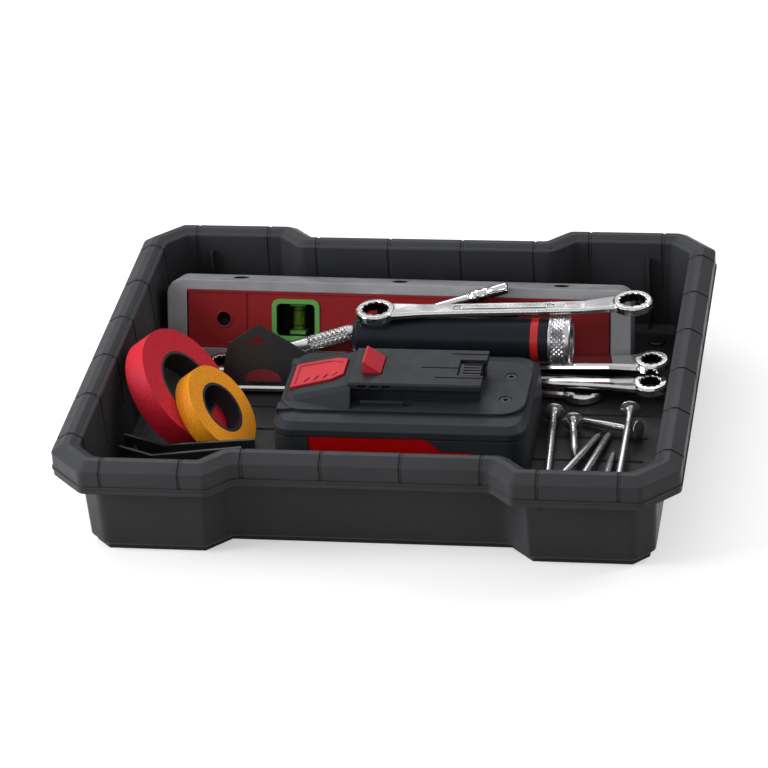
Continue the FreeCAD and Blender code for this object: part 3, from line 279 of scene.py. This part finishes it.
chrome = metal("chrome", (0.86, 0.855, 0.85), 0.08, edge=0.0004, scratch=0.03)
knurled_chrome = metal("knurled_chrome", (0.84, 0.84, 0.84), 0.30, edge=0.0, scratch=0.0)
plate_dark = metal("plate_dark", (0.050, 0.053, 0.055), 0.36, metallic=0.8)
level_metal = metal("level_metal", (0.40, 0.41, 0.425), 0.40, edge=0.0006, brush=(0.05, 1, 1), metallic=0.7)
bracket_steel = metal("bracket_steel", (0.035, 0.036, 0.040), 0.40, metallic=0.6)
torch_black = metal("torch_black", (0.013, 0.016, 0.022), 0.34, edge=0.0004, metallic=0.3)
torch_black.set("Specular IOR Level", 0.25)
torch_silver = metal("torch_silver", (0.66, 0.66, 0.67), 0.32, edge=0.0, scratch=0.0)
nail_steel = metal("nail_steel", (0.52, 0.52, 0.53), 0.24, scratch=0.1, metallic=0.92)
screw_black = metal("screw_black", (0.045, 0.046, 0.050), 0.42, metallic=0.8)
contact_metal = metal("contact_metal", (0.16, 0.13, 0.09), 0.35)
# Painted shade: near-black metal for the sleeves inside the spanner bores
painted_bore_shade = metal("painted_bore_shade", (0.05, 0.05, 0.05), 0.3)

# Painted shade in the hollow places of these finishes, and painted light on their open faces: how far a
# hollow reaches, in metres, and how dark it gets

OPEN_PAINTED_LIGHT = 1.08
PAINTED_HOLLOW_SHADES = (
    (chrome, 0.0013, 0.12),
    (knurled_chrome, 0.0020, 0.0),
    (torch_silver, 0.0020, 0.0),
    (nail_steel, 0.004, 0.45),
    (level_metal, 0.004, 0.45),
    (battery_grain, 0.004, 0.45),
    (button_red, 0.002, 0.35),
    (bracket_steel, 0.004, 0.5),
)
for finish, reach, low in PAINTED_HOLLOW_SHADES:
    finish.dim(finish.painted_hollow_shade(reach, low, OPEN_PAINTED_LIGHT))

# Clear pieces

vial_glass = Shader("vial_green", (0.20, 0.55, 0.05), 0.08)
vial_glass.set("Transmission Weight", 0.55).set("IOR", 1.45)
vial_glass.color(vial_glass.noise(60.0), [(0.3, (0.10, 0.26, 0.02)), (0.7, (0.26, 0.42, 0.05))])
lens_glass = Shader("lens_dark", (0.02, 0.02, 0.025), 0.06)
lens_glass.set("Coat Weight", 0.8)
lens_glass.color(lens_glass.noise(80.0), [(0.3, (0.015, 0.015, 0.02)), (0.7, (0.03, 0.03, 0.036))])

FINISH = {
    "tray_shell": charcoal,
    "rubber_feet": foot_rubber,
    "foot_screws": screw_black,
    "level_beam": level_metal,
    "level_panels": level_red,
    "level_vial_frames": frame_green,
    "level_vials": vial_glass,
    "battery_lower_shell": battery_grain,
    "battery_upper_shell": battery_grain,
    "battery_release_button": button_red,
    "battery_latch": button_red,
    "battery_label_panel": label_red,
    "battery_terminal_block": contact_black,
    "battery_contacts": contact_metal,
    "battery_screws": screw_black,
    "battery_cells": cell_wrap,
    "torch_barrel": torch_black,
    "torch_accent_ring": ring_red,
    "torch_bezel": torch_silver,
    "torch_lens": lens_glass,
    "bar_grip": chrome,
    "bar_rod": chrome,
    "bar_tip": chrome,
    "gable_plate": plate_dark,
    "gable_plate_inlay": plate_red,
    "bent_brackets": bracket_steel,
    "nails": nail_steel,
    "red_tape": tape_red,
    "red_tape_core": dark_core,
    "orange_tape": tape_orange,
    "orange_tape_core": dark_core,
    "long_ring_spanner": chrome,
    "middle_ring_spanner": chrome,
    "upper_ring_spanner": chrome,
    "top_ring_spanner": chrome,
}

for node, finish in FINISH.items():
    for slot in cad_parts[node].material_slots:
        slot.material = finish.material


# Mesh helpers

def mesh_of(shape, name):
    """Mesh from a bmesh, which is freed."""
    mesh = bpy.data.meshes.new(name)
    shape.to_mesh(mesh)
    shape.free()
    return mesh


def bridged(loops, name, place, ends="open"):
    """Mesh through loops of points in order; its ends stay open, get a face each, or meet as a ring."""
    shape = bmesh.new()
    rows = [[shape.verts.new(place @ Vector(point)) for point in loop] for loop in loops]
    pairs = list(zip(rows[:-1], rows[1:]))
    if ends == "ring":
        pairs.append((rows[-1], rows[0]))
    for a, b in pairs:
        for i in range(len(a)):
            j = (i + 1) % len(a)
            shape.faces.new((a[i], a[j], b[j], b[i]))
    if ends == "faced":
        shape.faces.new(rows[0])
        shape.faces.new(rows[-1])
    bmesh.ops.recalc_face_normals(shape, faces=shape.faces)
    return mesh_of(shape, name)


def turned(stations, around, name, place, relief=None):
    """Surface of revolution along +X from (x, radius) stations in mm; relief(x, i) sinks point i, in m."""
    rings = []
    for x, radius in stations:
        ring = []
        for i in range(around):
            angle = 2.0 * math.pi * i / around
            r = radius * MM - (relief(x * MM, i) if relief else 0.0)
            ring.append((x * MM, r * math.cos(angle), r * math.sin(angle)))
        rings.append(ring)
    return bridged(rings, name, place)


def joined(meshes, name):
    """One mesh from several, which are removed."""
    shape = bmesh.new()
    for one in meshes:
        shape.from_mesh(one)
        bpy.data.meshes.remove(one)
    return mesh_of(shape, name)


def piece(name, mesh, finish, body, smooth=True):
    obj = bpy.data.objects.new(name, mesh)
    bpy.context.scene.collection.objects.link(obj)
    mesh.materials.append(finish.material)
    for face in mesh.polygons:
        face.use_smooth = smooth
    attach(obj, body)
    return obj


def moved(x, y, z):
    """Shift by millimetres."""
    return Matrix.Translation(Vector((x, y, z)) * MM)


def turn(degrees, axis):
    return Matrix.Rotation(math.radians(degrees), 4, axis)


# Frames of the leaning tools as they lie in the tray, with the part's own sizes in millimetres

FLOOR_TOP = 3.2
SEAT_GAP = 0.3
LEVEL_X = -10.6
LEVEL_Y = 56.0
LEVEL_LENGTH = 235.0
LEVEL_THICK = 18.6
LEVEL_HEIGHT = 39.8
LEVEL_LEAN = 20.0
LEVEL_TURN = -0.84
LEVEL_LOW_EDGE = LEVEL_THICK * math.sin(math.radians(LEVEL_LEAN))
LEVEL = moved(LEVEL_X, LEVEL_Y, FLOOR_TOP + LEVEL_LOW_EDGE) @ turn(LEVEL_TURN, "Z") @ turn(-LEVEL_LEAN, "X")
X_TO_UP = turn(-90.0, "Y")
X_TO_BACK = turn(90.0, "Z")

TORCH_Y = 44.3
TORCH_Z = 31.6
TORCH_BARREL_R = 11.0
TORCH = moved(0.0, TORCH_Y, TORCH_Z)

BAR_START = (-55.5, 5.8)
BAR_END = (56.6, 40.6)
BAR_GRIP_R = 4.1
BAR_GRIP_TO = 27.0
BAR_TIP_R = 3.4
BAR_TIP_FROM = 97.0
BAR_FACE_GAP = 0.9
bar_run = Vector((BAR_END[0] - BAR_START[0], BAR_END[1] - BAR_START[1]))
bar_total = bar_run.length
bar_taper = math.atan2(BAR_GRIP_R - BAR_TIP_R, BAR_TIP_FROM - BAR_GRIP_TO)
BAR = (
    LEVEL
    @ moved(BAR_START[0], -BAR_GRIP_R - BAR_FACE_GAP, BAR_START[1])
    @ Matrix.Rotation(-math.atan2(bar_run.y, bar_run.x), 4, "Y")
    @ Matrix.Rotation(bar_taper, 4, "Z")
)


# Knurls of the torch head and the bar's grip

KNURL_PITCH = 0.62
ROW_SLACK = 0.1


def knurl_depth(k, i):
    """Share of a diamond knurl's depth at row k and column i: 0 on the points, 1 in the valleys."""
    if k % 2 and i % 2:
        return 1.0
    if k % 2 or i % 2:
        return 0.5
    return float((k // 2 + i // 2) % 2)


def outside(x, rows):
    """Whether a station, in metres, lies before the first or past the last of these rows."""
    return x < (rows[0] - ROW_SLACK) * MM or x > (rows[-1] + ROW_SLACK) * MM


def knurled(rows, depth):
    """Relief of a diamond knurl over rows that are KNURL_PITCH apart."""
    def relief(x, i):
        if outside(x, rows):
            return 0.0
        row = int(round((x / MM - rows[0]) / KNURL_PITCH))
        return depth * MM * knurl_depth(row, i)
    return relief


# Torch head: plain rims, a fine diamond knurl between them, and a bevelled mouth

BEZEL_AROUND = 120
BEZEL_KNURL_ROWS = 9
BEZEL_KNURL_DEPTH = 0.85


def torch_head():
    rows = [70.5 + KNURL_PITCH * k for k in range(1, BEZEL_KNURL_ROWS + 1)]
    stations = [(69.0, 10.06), (69.0, 11.9), (69.25, 12.15), (70.3, 12.15), (70.5, 11.85)]
    stations += [(x, 12.2) for x in rows]
    stations += [(77.15, 11.85), (77.35, 12.15), (79.1, 12.15), (79.6, 11.7), (79.8, 11.2)]
    stations += [(79.8, 9.9), (79.3, 9.4), (78.6, 9.4), (78.6, 10.06)]
    name = "torch_knurled_bezel"
    mesh = turned(stations, BEZEL_AROUND, name, TORCH, knurled(rows, BEZEL_KNURL_DEPTH))
    bezel = piece(name, mesh, torch_silver, "torch_head", smooth=False)
    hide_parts("torch_bezel")


# Slim bar: a grip sleeve with its knurl, and a tip sleeve with a groove and wrench flats

GRIP_AROUND = 40
GRIP_KNURL_FROM = 13.4
GRIP_KNURL_ROWS = 33
GRIP_KNURL_DEPTH = 0.8
TIP_AROUND = 36
TIP_FLATS_ROOM = 17.0
TIP_ROW_PITCH = 0.9
TIP_ROWS = 7
TIP_DEPTH = 0.45


def bar_grip():
    rows = [GRIP_KNURL_FROM + KNURL_PITCH * k for k in range(GRIP_KNURL_ROWS)]
    stations = [(0.0, 2.3), (0.0, 2.9), (0.5, 3.6), (1.0, 3.8), (12.6, 3.8), (13.0, 4.0), (13.2, BAR_GRIP_R)]
    stations += [(x, BAR_GRIP_R) for x in rows]
    stations += [(33.9, BAR_GRIP_R), (34.4, 3.9), (36.4, 3.3), (37.0, 2.9), (37.0, 2.3)]
    name = "bar_knurled_grip"
    mesh = turned(stations, GRIP_AROUND, name, BAR, knurled(rows, GRIP_KNURL_DEPTH))
    grip = piece(name, mesh, knurled_chrome, "bar", smooth=False)
    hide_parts("bar_grip")


def bar_tip():
    flats = bar_total - TIP_FLATS_ROOM
    rows = [flats + TIP_ROW_PITCH * k for k in range(TIP_ROWS)]
    stations = [(BAR_TIP_FROM, 2.25), (BAR_TIP_FROM, 2.7), (BAR_TIP_FROM + 0.4, 3.0)]
    stations += [(flats - 3.2, 3.0), (flats - 3.0, 2.6), (flats - 2.3, 2.6), (flats - 2.1, 3.05)]
    stations += [(x, 3.1) for x in rows]
    stations += [(flats + 6.6, 2.7), (flats + 7.2, 2.7), (flats + 7.5, 3.0)]
    stations += [(bar_total - 0.5, 2.75), (bar_total, 2.3), (bar_total, 0.05)]

    def checkered(x, i):
        if outside(x, rows):
            return 0.0
        check = i // 3 + int(round((x / MM - rows[0]) / (2 * TIP_ROW_PITCH)))
        return TIP_DEPTH * MM if check % 2 else 0.0

    name = "bar_socket_tip"
    tip = piece(name, turned(stations, TIP_AROUND, name, BAR, checkered), chrome, "bar")
    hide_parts("bar_tip")


# Nails: domed heads that flare into the shank, grip grooves and a pointed end

NAIL_AROUND = 28
NAIL_HEAD_R = 5.3
NAIL_R = 1.75
NAIL_LENGTH = 60.0
NAIL_GROOVES = 5
NAIL_GROOVE_FROM = 6.4
NAIL_GROOVE_PITCH = 1.1
head_z = FLOOR_TOP + SEAT_GAP + NAIL_HEAD_R
shank_z = FLOOR_TOP + SEAT_GAP + NAIL_R
over_z = head_z + 2 * NAIL_R + 1.2

Nail = namedtuple("Nail", "head run length")
NAILS = (
    Nail((73.5, 14.6, head_z), (3.0, -60.0), NAIL_LENGTH),
    Nail((83.6, 6.4, head_z), (8.0, -60.0), 30.0),
    Nail((91.3, -55.6, head_z), (11.2, 60.0), NAIL_LENGTH),
    Nail((102.6, -74.4, head_z), (3.1, 60.0), NAIL_LENGTH),
    Nail((80.3, -53.5, head_z), (17.7, 56.0), 58.0),
    Nail((116.7, -1.6, head_z), (-33.3, 15.5), 37.0),
    Nail((111.4, 11.2, over_z), (-1.0, -58.0), NAIL_LENGTH),
)


def nail_stations(length):
    stations = [(0.05, 0.05), (0.05, 2.2), (0.2, 3.9), (0.35, 4.9), (0.6, 5.25), (0.9, 5.25), (1.15, 4.9)]
    stations += [(1.5, 3.7), (2.2, 2.7), (3.4, 2.05), (5.2, 1.78)]
    for k in range(NAIL_GROOVES):
        x = NAIL_GROOVE_FROM + NAIL_GROOVE_PITCH * k
        stations += [(x, NAIL_R), (x + 0.25, NAIL_R - 0.06), (x + 0.5, NAIL_R)]
    stations += [(length - 6.0, NAIL_R), (length - 3.0, 1.05), (length - 0.4, 0.3), (length, 0.05)]
    return stations


def round_nails():
    made = []
    for nail in NAILS:
        aim = Vector((*nail.run, shank_z - nail.head[2])).normalized()
        place = moved(*nail.head) @ aim.to_track_quat("X", "Z").to_matrix().to_4x4()
        made.append(turned(nail_stations(nail.length), NAIL_AROUND, "nail", place))
    nails = piece("round_nails", joined(made, "round_nails"), nail_steel, "loose_nails")
    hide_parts("nails")


# Level: dark cups of painted shade in the top holes, a lip for the hang hole, and a dark liner of painted
# shade inside it

TOP_HOLE_PITCH = 81.5
TOP_HOLE_Y = LEVEL_THICK * 0.55
TOP_HOLE_FLOOR = 2.96
HANG_HOLE_X = -88.5
ROUND_POINTS = 40
LIP_POINTS = 48
PANEL_Y = 0.62
LEVEL_MID = LEVEL_HEIGHT / 2.0


def top_hole_shade_cups():
    # Painted shade: near-black cups sit in the top holes so the holes read black
    stations = [(0.25, 0.05), (0.25, 3.5), (2.92, 3.85), (2.92, 3.97), (0.02, 3.97), (0.02, 0.05)]
    for step in (-1, 0, 1):
        place = LEVEL @ moved(step * TOP_HOLE_PITCH, TOP_HOLE_Y, LEVEL_HEIGHT - TOP_HOLE_FLOOR) @ X_TO_UP
        mesh = turned(stations, ROUND_POINTS, "seat", place)
        piece("level_hole_seat_%d" % (step + 2), mesh, shade_and_line_black, "level")


def hang_hole():
    lip = [(0.0, 3.45), (-0.28, 3.75), (-0.34, 4.2), (-0.2, 4.55), (0.02, 4.7), (0.02, 3.45)]
    mesh = turned(lip, LIP_POINTS, "lip", LEVEL @ moved(HANG_HOLE_X, PANEL_Y, LEVEL_MID) @ X_TO_BACK)
    piece("level_hang_hole_lip", mesh, level_red, "level")
    # Painted shade: a near-black cup inside the hang hole so the hole reads black
    cup = [(3.2, 0.05), (3.2, 3.0), (0.9, 3.38), (0.9, 3.46), (3.6, 3.46), (3.6, 0.05)]
    mesh = turned(cup, ROUND_POINTS, "cup", LEVEL @ moved(HANG_HOLE_X, 0.0, LEVEL_MID) @ X_TO_BACK)
    piece("level_hang_hole_shade_liner", mesh, shade_and_line_black, "level")


# Level: a dark strip of painted shade runs round the front panel in its gap, and each vial window is lined
# dark inside its frame as painted shade

PANEL_END = 10.0
PANEL_FLANGE = 5.1
PANEL_PROUD_Y = 0.50
GAP_FROM = 0.02
GAP_TO = 0.72
WINDOW_MID = LEVEL_MID + 0.5
WINDOW_WALL = 2.42
WINDOW_HALF_WIDE = 24.4 / 2.0 - WINDOW_WALL
WINDOW_HALF_HIGH = 21.2 / 2.0 - WINDOW_WALL
WINDOW_LINER = 0.25
WINDOW_FRONT_Y = 0.9
WINDOW_BACK_Y = LEVEL_THICK - 3.0
BAND_X = 3.9

Vial = namedtuple("Vial", "x upright")
VIALS = (Vial(-51.5, True), Vial(0.0, False), Vial(51.5, True))


def rounded_rectangle(half_wide, half_high, radius, steps=6):
    """Corner points of an upright rounded rectangle, anticlockwise in (x, z)."""
    made = []
    for corner in range(4):
        sx = 1 if corner in (0, 3) else -1
        sz = 1 if corner in (0, 1) else -1
        for step in range(steps + 1):
            a = math.radians(90.0 * corner + 90.0 * step / steps)
            x = sx * (half_wide - radius) + radius * math.cos(a)
            z = sz * (half_high - radius) + radius * math.sin(a)
            made.append((x, z))
    return made


def in_face(outline, y, x, z):
    """Outline set upright at depth y of the level, about (x, z)."""
    return [Vector((x + across, y, z + up)) * MM for across, up in outline]


def panel_gap_shade():
    half_wide = LEVEL_LENGTH / 2.0 - PANEL_END
    half_high = LEVEL_MID - PANEL_FLANGE
    # Painted shade: a thin near-black strip set in the gap round the front panel
    outer = rounded_rectangle(half_wide - GAP_FROM, half_high - GAP_FROM, 0.6, 2)
    inner = rounded_rectangle(half_wide - GAP_TO, half_high - GAP_TO, 0.4, 2)
    corners = ((outer, PANEL_Y), (outer, PANEL_PROUD_Y), (inner, PANEL_PROUD_Y), (inner, PANEL_Y))
    loops = [in_face(outline, y, 0, LEVEL_MID) for outline, y in corners]
    mesh = bridged(loops, "gap", LEVEL, "ring")
    piece("level_panel_gap", mesh, shade_and_line_black, "level", smooth=False)


def vial_window_shades():
    mouth = rounded_rectangle(WINDOW_HALF_WIDE, WINDOW_HALF_HIGH, 1.6)
    inside = rounded_rectangle(WINDOW_HALF_WIDE - WINDOW_LINER, WINDOW_HALF_HIGH - WINDOW_LINER, 1.4)
    liner = ((mouth, WINDOW_FRONT_Y), (mouth, WINDOW_BACK_Y), (inside, WINDOW_BACK_Y - 0.6),
             (inside, WINDOW_FRONT_Y))
    back = ((mouth, WINDOW_BACK_Y), (mouth, WINDOW_BACK_Y - 0.5), (inside, WINDOW_BACK_Y - 0.7))
    # Painted shade: near-black liners and backs make each window dark inside its frame
    for number, vial in enumerate(VIALS, 1):
        for kind, corners, ends in (("liner", liner, "ring"), ("back", back, "faced")):
            loops = [in_face(outline, y, vial.x, WINDOW_MID) for outline, y in corners]
            mesh = bridged(loops, kind, LEVEL, ends)
            name = "vial_window_%d_%s" % (number, kind)
            piece(name, mesh, shade_and_line_black, "level", smooth=False)


def vial_bands():
    """Two dark lines round each vial."""
    stations = [(-0.22, 3.0), (-0.2, 3.06), (0.2, 3.06), (0.22, 3.0)]
    for number, vial in enumerate(VIALS, 1):
        seat = LEVEL @ moved(vial.x, LEVEL_THICK / 2.0, WINDOW_MID)
        if vial.upright:
            seat = seat @ X_TO_UP
        for side, end in ((-1, "low"), (1, "high")):
            mesh = turned(stations, ROUND_POINTS, "band", seat @ moved(side * BAND_X, 0, 0))
            piece("vial_%d_band_%s" % (number, end), mesh, shade_and_line_black, "level")


# Ring spanners: twelve-point mouths, dark sleeves of painted shade in the bores, and raised panels along
# three of the shanks

RING_THICK = 5.0
SHANK_THICK = 3.4
SMALL_BORE = 5.9
LONG_RIGHT_BORE = 7.6
LARGE_BORE = 7.4
TOP_RISE = 1.2
MOUTH_POINTS = 12
PANEL_PROUD = 0.35


def ring_level(layer):
    return FLOOR_TOP + SEAT_GAP + RING_THICK / 2.0 + layer * (RING_THICK + SEAT_GAP)


top_z = TORCH_Z + TORCH_BARREL_R + SEAT_GAP + RING_THICK / 2.0
FLAT = (0.0, 0.0)
Spanner = namedtuple("Spanner", "left right z_left z_right bores lift side")
SPANNERS = {
    "long_spanner": Spanner((-107.8, 37.0), (85.0, 39.6), ring_level(0), ring_level(0),
                            (SMALL_BORE, LONG_RIGHT_BORE), FLAT, FLAT),
    "middle_spanner": Spanner((-98.0, 47.8), (118.4, 37.4), ring_level(1), ring_level(1),
                              (SMALL_BORE, SMALL_BORE), FLAT, FLAT),
    "upper_spanner": Spanner((-30.0, 43.4), (118.0, 50.4), ring_level(2), ring_level(2),
                             (SMALL_BORE, SMALL_BORE), FLAT, FLAT),
    "top_spanner": Spanner((-17.0, 44.6), (109.4, 52.6), top_z, top_z + TOP_RISE,
                           (LARGE_BORE, LARGE_BORE), (0.2, 1.6), (-1.0, 0.6)),
}

RaisedPanel = namedtuple("RaisedPanel", "body start end half sunk")
RAISED_PANELS = (
    RaisedPanel("top_spanner", 0.33, 0.67, 1.7, 0.4),
    RaisedPanel("top_spanner", 0.735, 0.79, 1.3, 0.2),
    RaisedPanel("middle_spanner", 0.33, 0.67, 1.7, 0.4),
    RaisedPanel("upper_spanner", 0.33, 0.67, 1.7, 0.4),
)


def spanner_frame(spanner):
    """Frame at the left ring's middle with X along the shank, and the run between the rings."""
    left, right = spanner.left, spanner.right
    run = Vector((right[0] - left[0], right[1] - left[1]))
    rise = math.atan2(spanner.z_right - spanner.z_left, run.length)
    heading = Matrix.Rotation(math.atan2(run.y, run.x), 4, "Z")
    place = moved(left[0], left[1], spanner.z_left) @ heading @ Matrix.Rotation(-rise, 4, "Y")
    return place, run.length


def star(outer, inner, steps=4):
    """Loop of a twelve-point socket: rounded valleys between blunt teeth."""
    made = []
    for k in range(MOUTH_POINTS * steps):
        phase = abs((k % steps) / steps * 2.0 - 1.0)
        radius = inner + (outer - inner) * phase ** 0.7
        a = 2.0 * math.pi * k / (MOUTH_POINTS * steps)
        made.append((radius * math.cos(a), radius * math.sin(a)))
    return made


def flat_loop(outline, z):
    return [Vector((x, y, z)) * MM for x, y in outline]


def mouth_loops(bore):
    """Loops of the toothed mouth in a ring's bore and of the dark sleeve of painted shade inside it."""
    half = RING_THICK / 2.0
    outer = star(bore - 0.04, bore - 0.04)
    teeth = star(bore - 0.35, bore - 1.25)
    lead = star(bore - 0.15, bore - 0.95)
    low = star(bore - 0.50, bore - 1.40)
    ring = ((outer, -half + 0.1), (outer, half - 0.1), (lead, half - 0.1), (teeth, half - 0.45),
            (teeth, -half + 0.1))
    shade_sleeve = ((teeth, -half + 0.4), (teeth, half - 0.9), (low, half - 0.9), (low, -half + 0.4))
    return [[flat_loop(outline, z) for outline, z in loops] for loops in (ring, shade_sleeve)]


def spanner_mouths():
    for body, spanner in SPANNERS.items():
        place, span = spanner_frame(spanner)
        rings = []
        shade_sleeves = []
        for x, bore, lift, side in zip((0.0, span), spanner.bores, spanner.lift, spanner.side):
            ring, shade_sleeve = mouth_loops(bore)
            at = place @ moved(x, side, lift)
            rings.append(bridged(ring, "ring", at, "ring"))
            shade_sleeves.append(bridged(shade_sleeve, "shade_sleeve", at, "ring"))
        piece(body + "_mouths", joined(rings, "mouths"), chrome, body, smooth=False)
        piece(body + "_bores", joined(shade_sleeves, "bores"), painted_bore_shade, body, smooth=False)


def bar_outline(x0, x1, half, steps=8):
    """Long outline with round ends along X."""
    made = []
    for x, start in ((x1 - half, -90.0), (x0 + half, 90.0)):
        for step in range(steps + 1):
            a = math.radians(start + 180.0 * step / steps)
            made.append((x + half * math.cos(a), half * math.sin(a)))
    return made


def raised_bar(x0, x1, half, low, high, edge=0.15):
    """Loops of a bar with round ends whose upper edge is broken by edge."""
    outline = bar_outline(x0, x1, half)
    crest = bar_outline(x0 + edge, x1 - edge, half - edge)
    return [flat_loop(outline, low), flat_loop(outline, high - edge), flat_loop(crest, high)]


def spanner_panels():
    for panel in RAISED_PANELS:
        place, span = spanner_frame(SPANNERS[panel.body])
        low = SHANK_THICK / 2.0 - panel.sunk
        high = SHANK_THICK / 2.0 + PANEL_PROUD
        loops = raised_bar(span * panel.start, span * panel.end, panel.half, low, high)
        name = "%s_panel_%d" % (panel.body, round(panel.start * 100))
        piece(name, bridged(loops, "bar", place, "faced"), chrome, panel.body, smooth=False)


torch_head()
bar_grip()
bar_tip()
round_nails()
top_hole_shade_cups()
hang_hole()
panel_gap_shade()
vial_window_shades()
vial_bands()
spanner_mouths()
spanner_panels()


# Camera at the photograph's angle, with its angles in radians and its place in metres

CAMERA_AZIMUTH = 0.1904
CAMERA_ELEVATION = 0.5269
CAMERA_ROLL = -0.0721
CAMERA_LENS = 168.07
CAMERA_SENSOR = 36.0
CAMERA_RIGHT = -0.005402
CAMERA_UP = -0.0202723
CAMERA_BACK = 1.7237967
CAMERA_CENTRE_Z = 0.05426


def place_camera():
    flat = math.cos(CAMERA_ELEVATION)
    right = Vector((math.cos(CAMERA_AZIMUTH), math.sin(CAMERA_AZIMUTH), 0.0))
    back = Vector((flat * right.y, -flat * right.x, math.sin(CAMERA_ELEVATION)))
    up = back.cross(right)
    cam_right = math.cos(CAMERA_ROLL) * right + math.sin(CAMERA_ROLL) * up
    cam_up = -math.sin(CAMERA_ROLL) * right + math.cos(CAMERA_ROLL) * up
    spot = CAMERA_RIGHT * cam_right + CAMERA_UP * cam_up + CAMERA_BACK * back
    data = bpy.data.cameras.new("camera")
    data.lens = CAMERA_LENS
    data.sensor_width = CAMERA_SENSOR
    data.clip_end = 100.0
    camera = bpy.data.objects.new("camera", data)
    bpy.context.scene.collection.objects.link(camera)
    facing = Matrix((cam_right, cam_up, back)).transposed().to_4x4()
    camera.matrix_world = Matrix.Translation(spot + Vector((0, 0, CAMERA_CENTRE_Z))) @ facing
    bpy.context.scene.camera = camera


place_camera()


# Floor: white to the camera, in reflections and through clear pieces, and warm grey to other light

FLOOR_HALF = 6.0


def add_node(tree, kind, **inputs):
    """New node of a tree, with these inputs set."""
    node = tree.nodes.new(kind)
    for socket, value in inputs.items():
        node.inputs[socket].default_value = value
    return node


def larger(tree, first, second):
    node = add_node(tree, "ShaderNodeMath")
    node.operation = "MAXIMUM"
    tree.links.new(first, node.inputs[0])
    tree.links.new(second, node.inputs[1])
    return node.outputs[0]


def floor_material():
    material = bpy.data.materials.new("floor")
    material.use_nodes = True
    tree = material.node_tree
    tree.nodes.clear()
    out = add_node(tree, "ShaderNodeOutputMaterial")
    seen = add_node(tree, "ShaderNodeBsdfDiffuse", Color=(0.78, 0.78, 0.78, 1.0))
    glow = add_node(tree, "ShaderNodeEmission", Color=(1.0, 1.0, 1.0, 1.0), Strength=0.42)
    bounce = add_node(tree, "ShaderNodeBsdfDiffuse", Color=(0.34, 0.30, 0.27, 1.0))
    bright = add_node(tree, "ShaderNodeAddShader")
    pick = add_node(tree, "ShaderNodeMixShader")
    path = add_node(tree, "ShaderNodeLightPath")
    clear = larger(tree, path.outputs["Is Glossy Ray"], path.outputs["Is Transmission Ray"])
    shown = larger(tree, path.outputs["Is Camera Ray"], clear)
    tree.links.new(seen.outputs[0], bright.inputs[0])
    tree.links.new(glow.outputs[0], bright.inputs[1])
    tree.links.new(shown, pick.inputs["Fac"])
    tree.links.new(bounce.outputs[0], pick.inputs[1])
    tree.links.new(bright.outputs[0], pick.inputs[2])
    tree.links.new(pick.outputs[0], out.inputs["Surface"])
    return material


shape = bmesh.new()
for x, y in ((-1, -1), (1, -1), (1, 1), (-1, 1)):
    shape.verts.new((x * FLOOR_HALF, y * FLOOR_HALF, 0.0))
shape.faces.new(shape.verts)
floor = bpy.data.objects.new("floor", mesh_of(shape, "floor"))
bpy.context.scene.collection.objects.link(floor)
floor.data.materials.append(floor_material())


# Studio: a sky that brightens upwards, and four soft boxes with powers in watts

SKY_STRENGTH = 0.58
SKY_STOPS = ((0.05, (0.12, 0.12, 0.13, 1.0)), (0.55, (0.95, 0.95, 0.97, 1.0)))
LIGHT_AIM = (0.0, 0.0, 0.02)


def studio_sky():
    world = bpy.data.worlds.new("studio")
    bpy.context.scene.world = world
    world.use_nodes = True
    tree = world.node_tree
    tree.nodes.clear()
    out = add_node(tree, "ShaderNodeOutputWorld")
    sky = add_node(tree, "ShaderNodeBackground", Strength=SKY_STRENGTH)
    place = add_node(tree, "ShaderNodeTexCoord")
    apart = add_node(tree, "ShaderNodeSeparateXYZ")
    rise = add_node(tree, "ShaderNodeValToRGB")
    for stop, (at, color) in zip(rise.color_ramp.elements, SKY_STOPS):
        stop.position = at
        stop.color = color
    tree.links.new(place.outputs["Generated"], apart.inputs[0])
    tree.links.new(apart.outputs["Z"], rise.inputs["Fac"])
    tree.links.new(rise.outputs["Color"], sky.inputs["Color"])
    tree.links.new(sky.outputs[0], out.inputs["Surface"])


def softbox(name, where, size, power):
    data = bpy.data.lights.new(name, "AREA")
    data.shape = "RECTANGLE"
    data.size, data.size_y = size
    data.energy = power
    lamp = bpy.data.objects.new(name, data)
    bpy.context.scene.collection.objects.link(lamp)
    lamp.location = where
    look = Vector(LIGHT_AIM) - Vector(where)
    lamp.rotation_euler = look.to_track_quat("-Z", "Y").to_euler()


studio_sky()
softbox("top_back", (-0.5, 1.2, 1.3), (1.6, 0.8), 10.0)
softbox("left_fill", (-1.0, -0.35, 0.42), (0.4, 0.8), 11.0)
softbox("right_strip", (1.4, 0.5, 1.2), (0.25, 1.2), 7.0)
softbox("front_low", (0.4, -1.6, 0.9), (1.0, 0.4), 2.5)

bpy.context.scene.view_settings.view_transform = "Standard"
